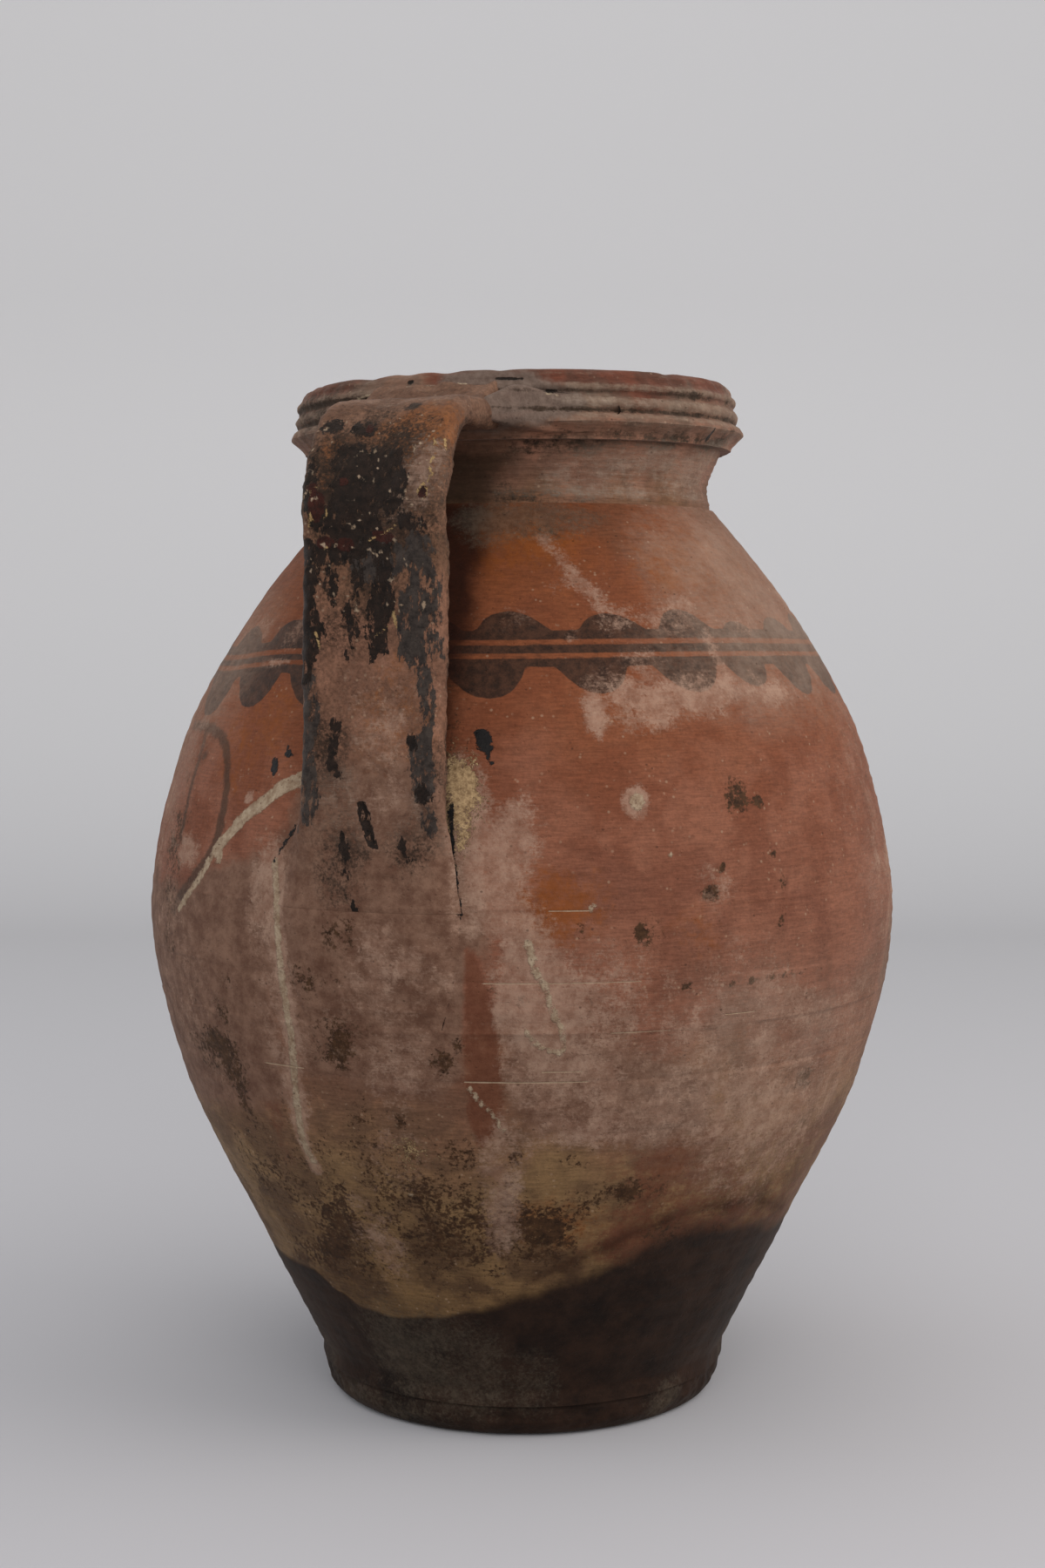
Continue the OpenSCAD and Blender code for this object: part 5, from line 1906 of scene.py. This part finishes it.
    def build(self) -> None:
        """Builds the strap, the wad at its root and the pad below its foot."""
        self.strap()
        self.wad()
        self.pad()


@dataclass
class Studio:
    """Floor, backdrop, lamps and camera."""

    eye_height: float = 0.3618
    eye_distance: float = 1.1348
    eye_bearing: float = 20.9
    eye_dip: float = 3.6
    lens: float = 54.0
    film: float = 36.0

    def camera(self) -> None:
        """Sets the camera at the height, distance and bearing from which the jar is seen."""
        data = bpy.data.cameras.new("Camera")
        data.sensor_fit = "VERTICAL"
        data.sensor_height = self.film
        data.lens = self.lens
        camera = bpy.data.objects.new("Camera", data)
        bearing = math.radians(self.eye_bearing)
        camera.location = (self.eye_distance * math.sin(bearing), -self.eye_distance * math.cos(bearing),
                           self.eye_height)
        camera.rotation_euler = (math.radians(90 - self.eye_dip), 0, bearing)
        bpy.context.scene.collection.objects.link(camera)
        bpy.context.scene.camera = camera

    def lamp(self, name: str, bearing: float, distance: float, height: float, size: float, power: float,
             colour: str) -> None:
        """Adds a soft lamp that points at the jar's middle.

        Args:
            name: Name of the lamp.
            bearing: Bearing round the jar.
            distance: Distance from the axis in metres.
            height: Height in metres.
            size: Side of the lamp in metres.
            power: Power in watts.
            colour: Colour code.
        """
        data = bpy.data.lights.new(name, "AREA")
        data.shape = "SQUARE"
        data.size = size
        data.energy = power
        data.color = tone(colour)[:3]
        lamp = bpy.data.objects.new(name, data)
        turn = math.radians(bearing)
        lamp.location = (distance * math.sin(turn), -distance * math.cos(turn), height)
        aim = Vector((0, 0, 0.25)) - lamp.location
        lamp.rotation_euler = aim.to_track_quat("-Z", "Y").to_euler()
        bpy.context.scene.collection.objects.link(lamp)

    def cove(self) -> None:
        """Builds the pale floor that curves up into a backdrop."""
        mesh = bmesh.new()
        radius, depth, height, half = 0.9, 2.6, 3.4, 5.0
        profile = [(-4.0, 0.0), (depth - radius, 0.0)]
        profile += [(depth - radius + radius * math.sin(math.radians(a)), radius - radius * math.cos(math.radians(a)))
                    for a in range(6, 91, 6)]
        profile.append((depth, height))
        points = [mesh.verts.new((-half, y, z)) for y, z in profile]
        edges = [mesh.edges.new(pair) for pair in zip(points, points[1:])]
        grown = bmesh.ops.extrude_edge_only(mesh, edges=edges)
        bmesh.ops.translate(mesh, vec=(2 * half, 0, 0),
                            verts=[g for g in grown["geom"] if isinstance(g, bmesh.types.BMVert)])
        bmesh.ops.rotate(mesh, verts=mesh.verts, cent=(0, 0, 0),
                         matrix=Matrix.Rotation(math.radians(self.eye_bearing), 3, "Z"))
        bmesh.ops.recalc_face_normals(mesh, faces=mesh.faces)
        for face in mesh.faces:
            face.smooth = True
        piece = as_object("cove", mesh)
        material = bpy.data.materials.new("Pale floor")
        material.use_nodes = True
        board = Board(material.node_tree)
        place = board.add("ShaderNodeTexCoord").outputs["Object"]
        shader = board.add("ShaderNodeBsdfPrincipled")
        away = board.add("ShaderNodeVectorMath", operation="DOT_PRODUCT")
        board.feed(away.inputs[0], place)
        turn = math.radians(self.eye_bearing)
        away.inputs[1].default_value = (-math.sin(turn) * 0.12, math.cos(turn) * 0.12, 1.0)
        back = away.outputs["Value"]
        # The camera sees the backdrop brighten with height, a painted falloff of the studio light; other rays see a
        # plain grey.
        rise = board.ease(back, -0.3, 0.55)
        seen = board.blend(rise, tone("c2c5cf"), tone("dfe3eb"))
        seen = board.blend(board.ease(back, 0.4, 1.3), seen, tone("f0f4fc"))
        shade = board.blend(board.noise(place, 900.0, 2.0), tone("8c8c8e"), tone("909092"))
        rays = board.add("ShaderNodeLightPath")
        direct = board.maths("MAXIMUM", rays.outputs["Is Camera Ray"], rays.outputs["Is Glossy Ray"])
        direct = board.maths("MAXIMUM", direct, rays.outputs["Is Transmission Ray"])
        board.feed(shader.inputs["Base Color"], board.blend(direct, shade, seen))
        shader.inputs["Roughness"].default_value = 0.9
        board.feed(board.add("ShaderNodeOutputMaterial").inputs[0], shader.outputs[0])
        piece.data.materials.append(material)

    def light(self) -> None:
        """Sets the world's light and the lamps."""
        world = bpy.data.worlds.new("Studio air")
        world.use_nodes = True
        world.node_tree.nodes["Background"].inputs["Color"].default_value = tone("fffaf4")
        world.node_tree.nodes["Background"].inputs["Strength"].default_value = 0.72
        bpy.context.scene.world = world
        self.lamp("Window right", 95, 1.7, 0.9, 1.3, 12.0, "fff3e8")
        self.lamp("Window left", -75, 1.8, 0.8, 1.2, 3.0, "f4f7ff")
        self.lamp("Front fill", 25, 2.2, 1.5, 1.4, 12.0, "fff6ee")
        bpy.context.scene.view_settings.view_transform = "Standard"

    def build(self) -> None:
        """Sets up the whole studio."""
        self.cove()
        self.light()
        self.camera()


def main() -> None:
    """Builds the jar piece by piece, then the studio."""
    logging.basicConfig(level=logging.INFO, format="%(name)s: %(message)s")
    effects = Effects()
    wall = WALL_CLAY.make(effects)
    mouth = MOUTH_CLAY.make(effects)
    strap = STRAP_CLAY.make(effects)
    throwing = Throwing()
    lean = Lean()
    body = Body(throwing, lean, WallMarks(), wall)
    body.build()
    rim = Mouth(throwing, lean, mouth)
    rim.build()
    Handle("front", False, body, rim, strap, 21).build()
    Handle("back", True, body, rim, strap, 22).build()
    Studio().build()
    LOG.info("boxes written")


if __name__ == "__main__":
    main()
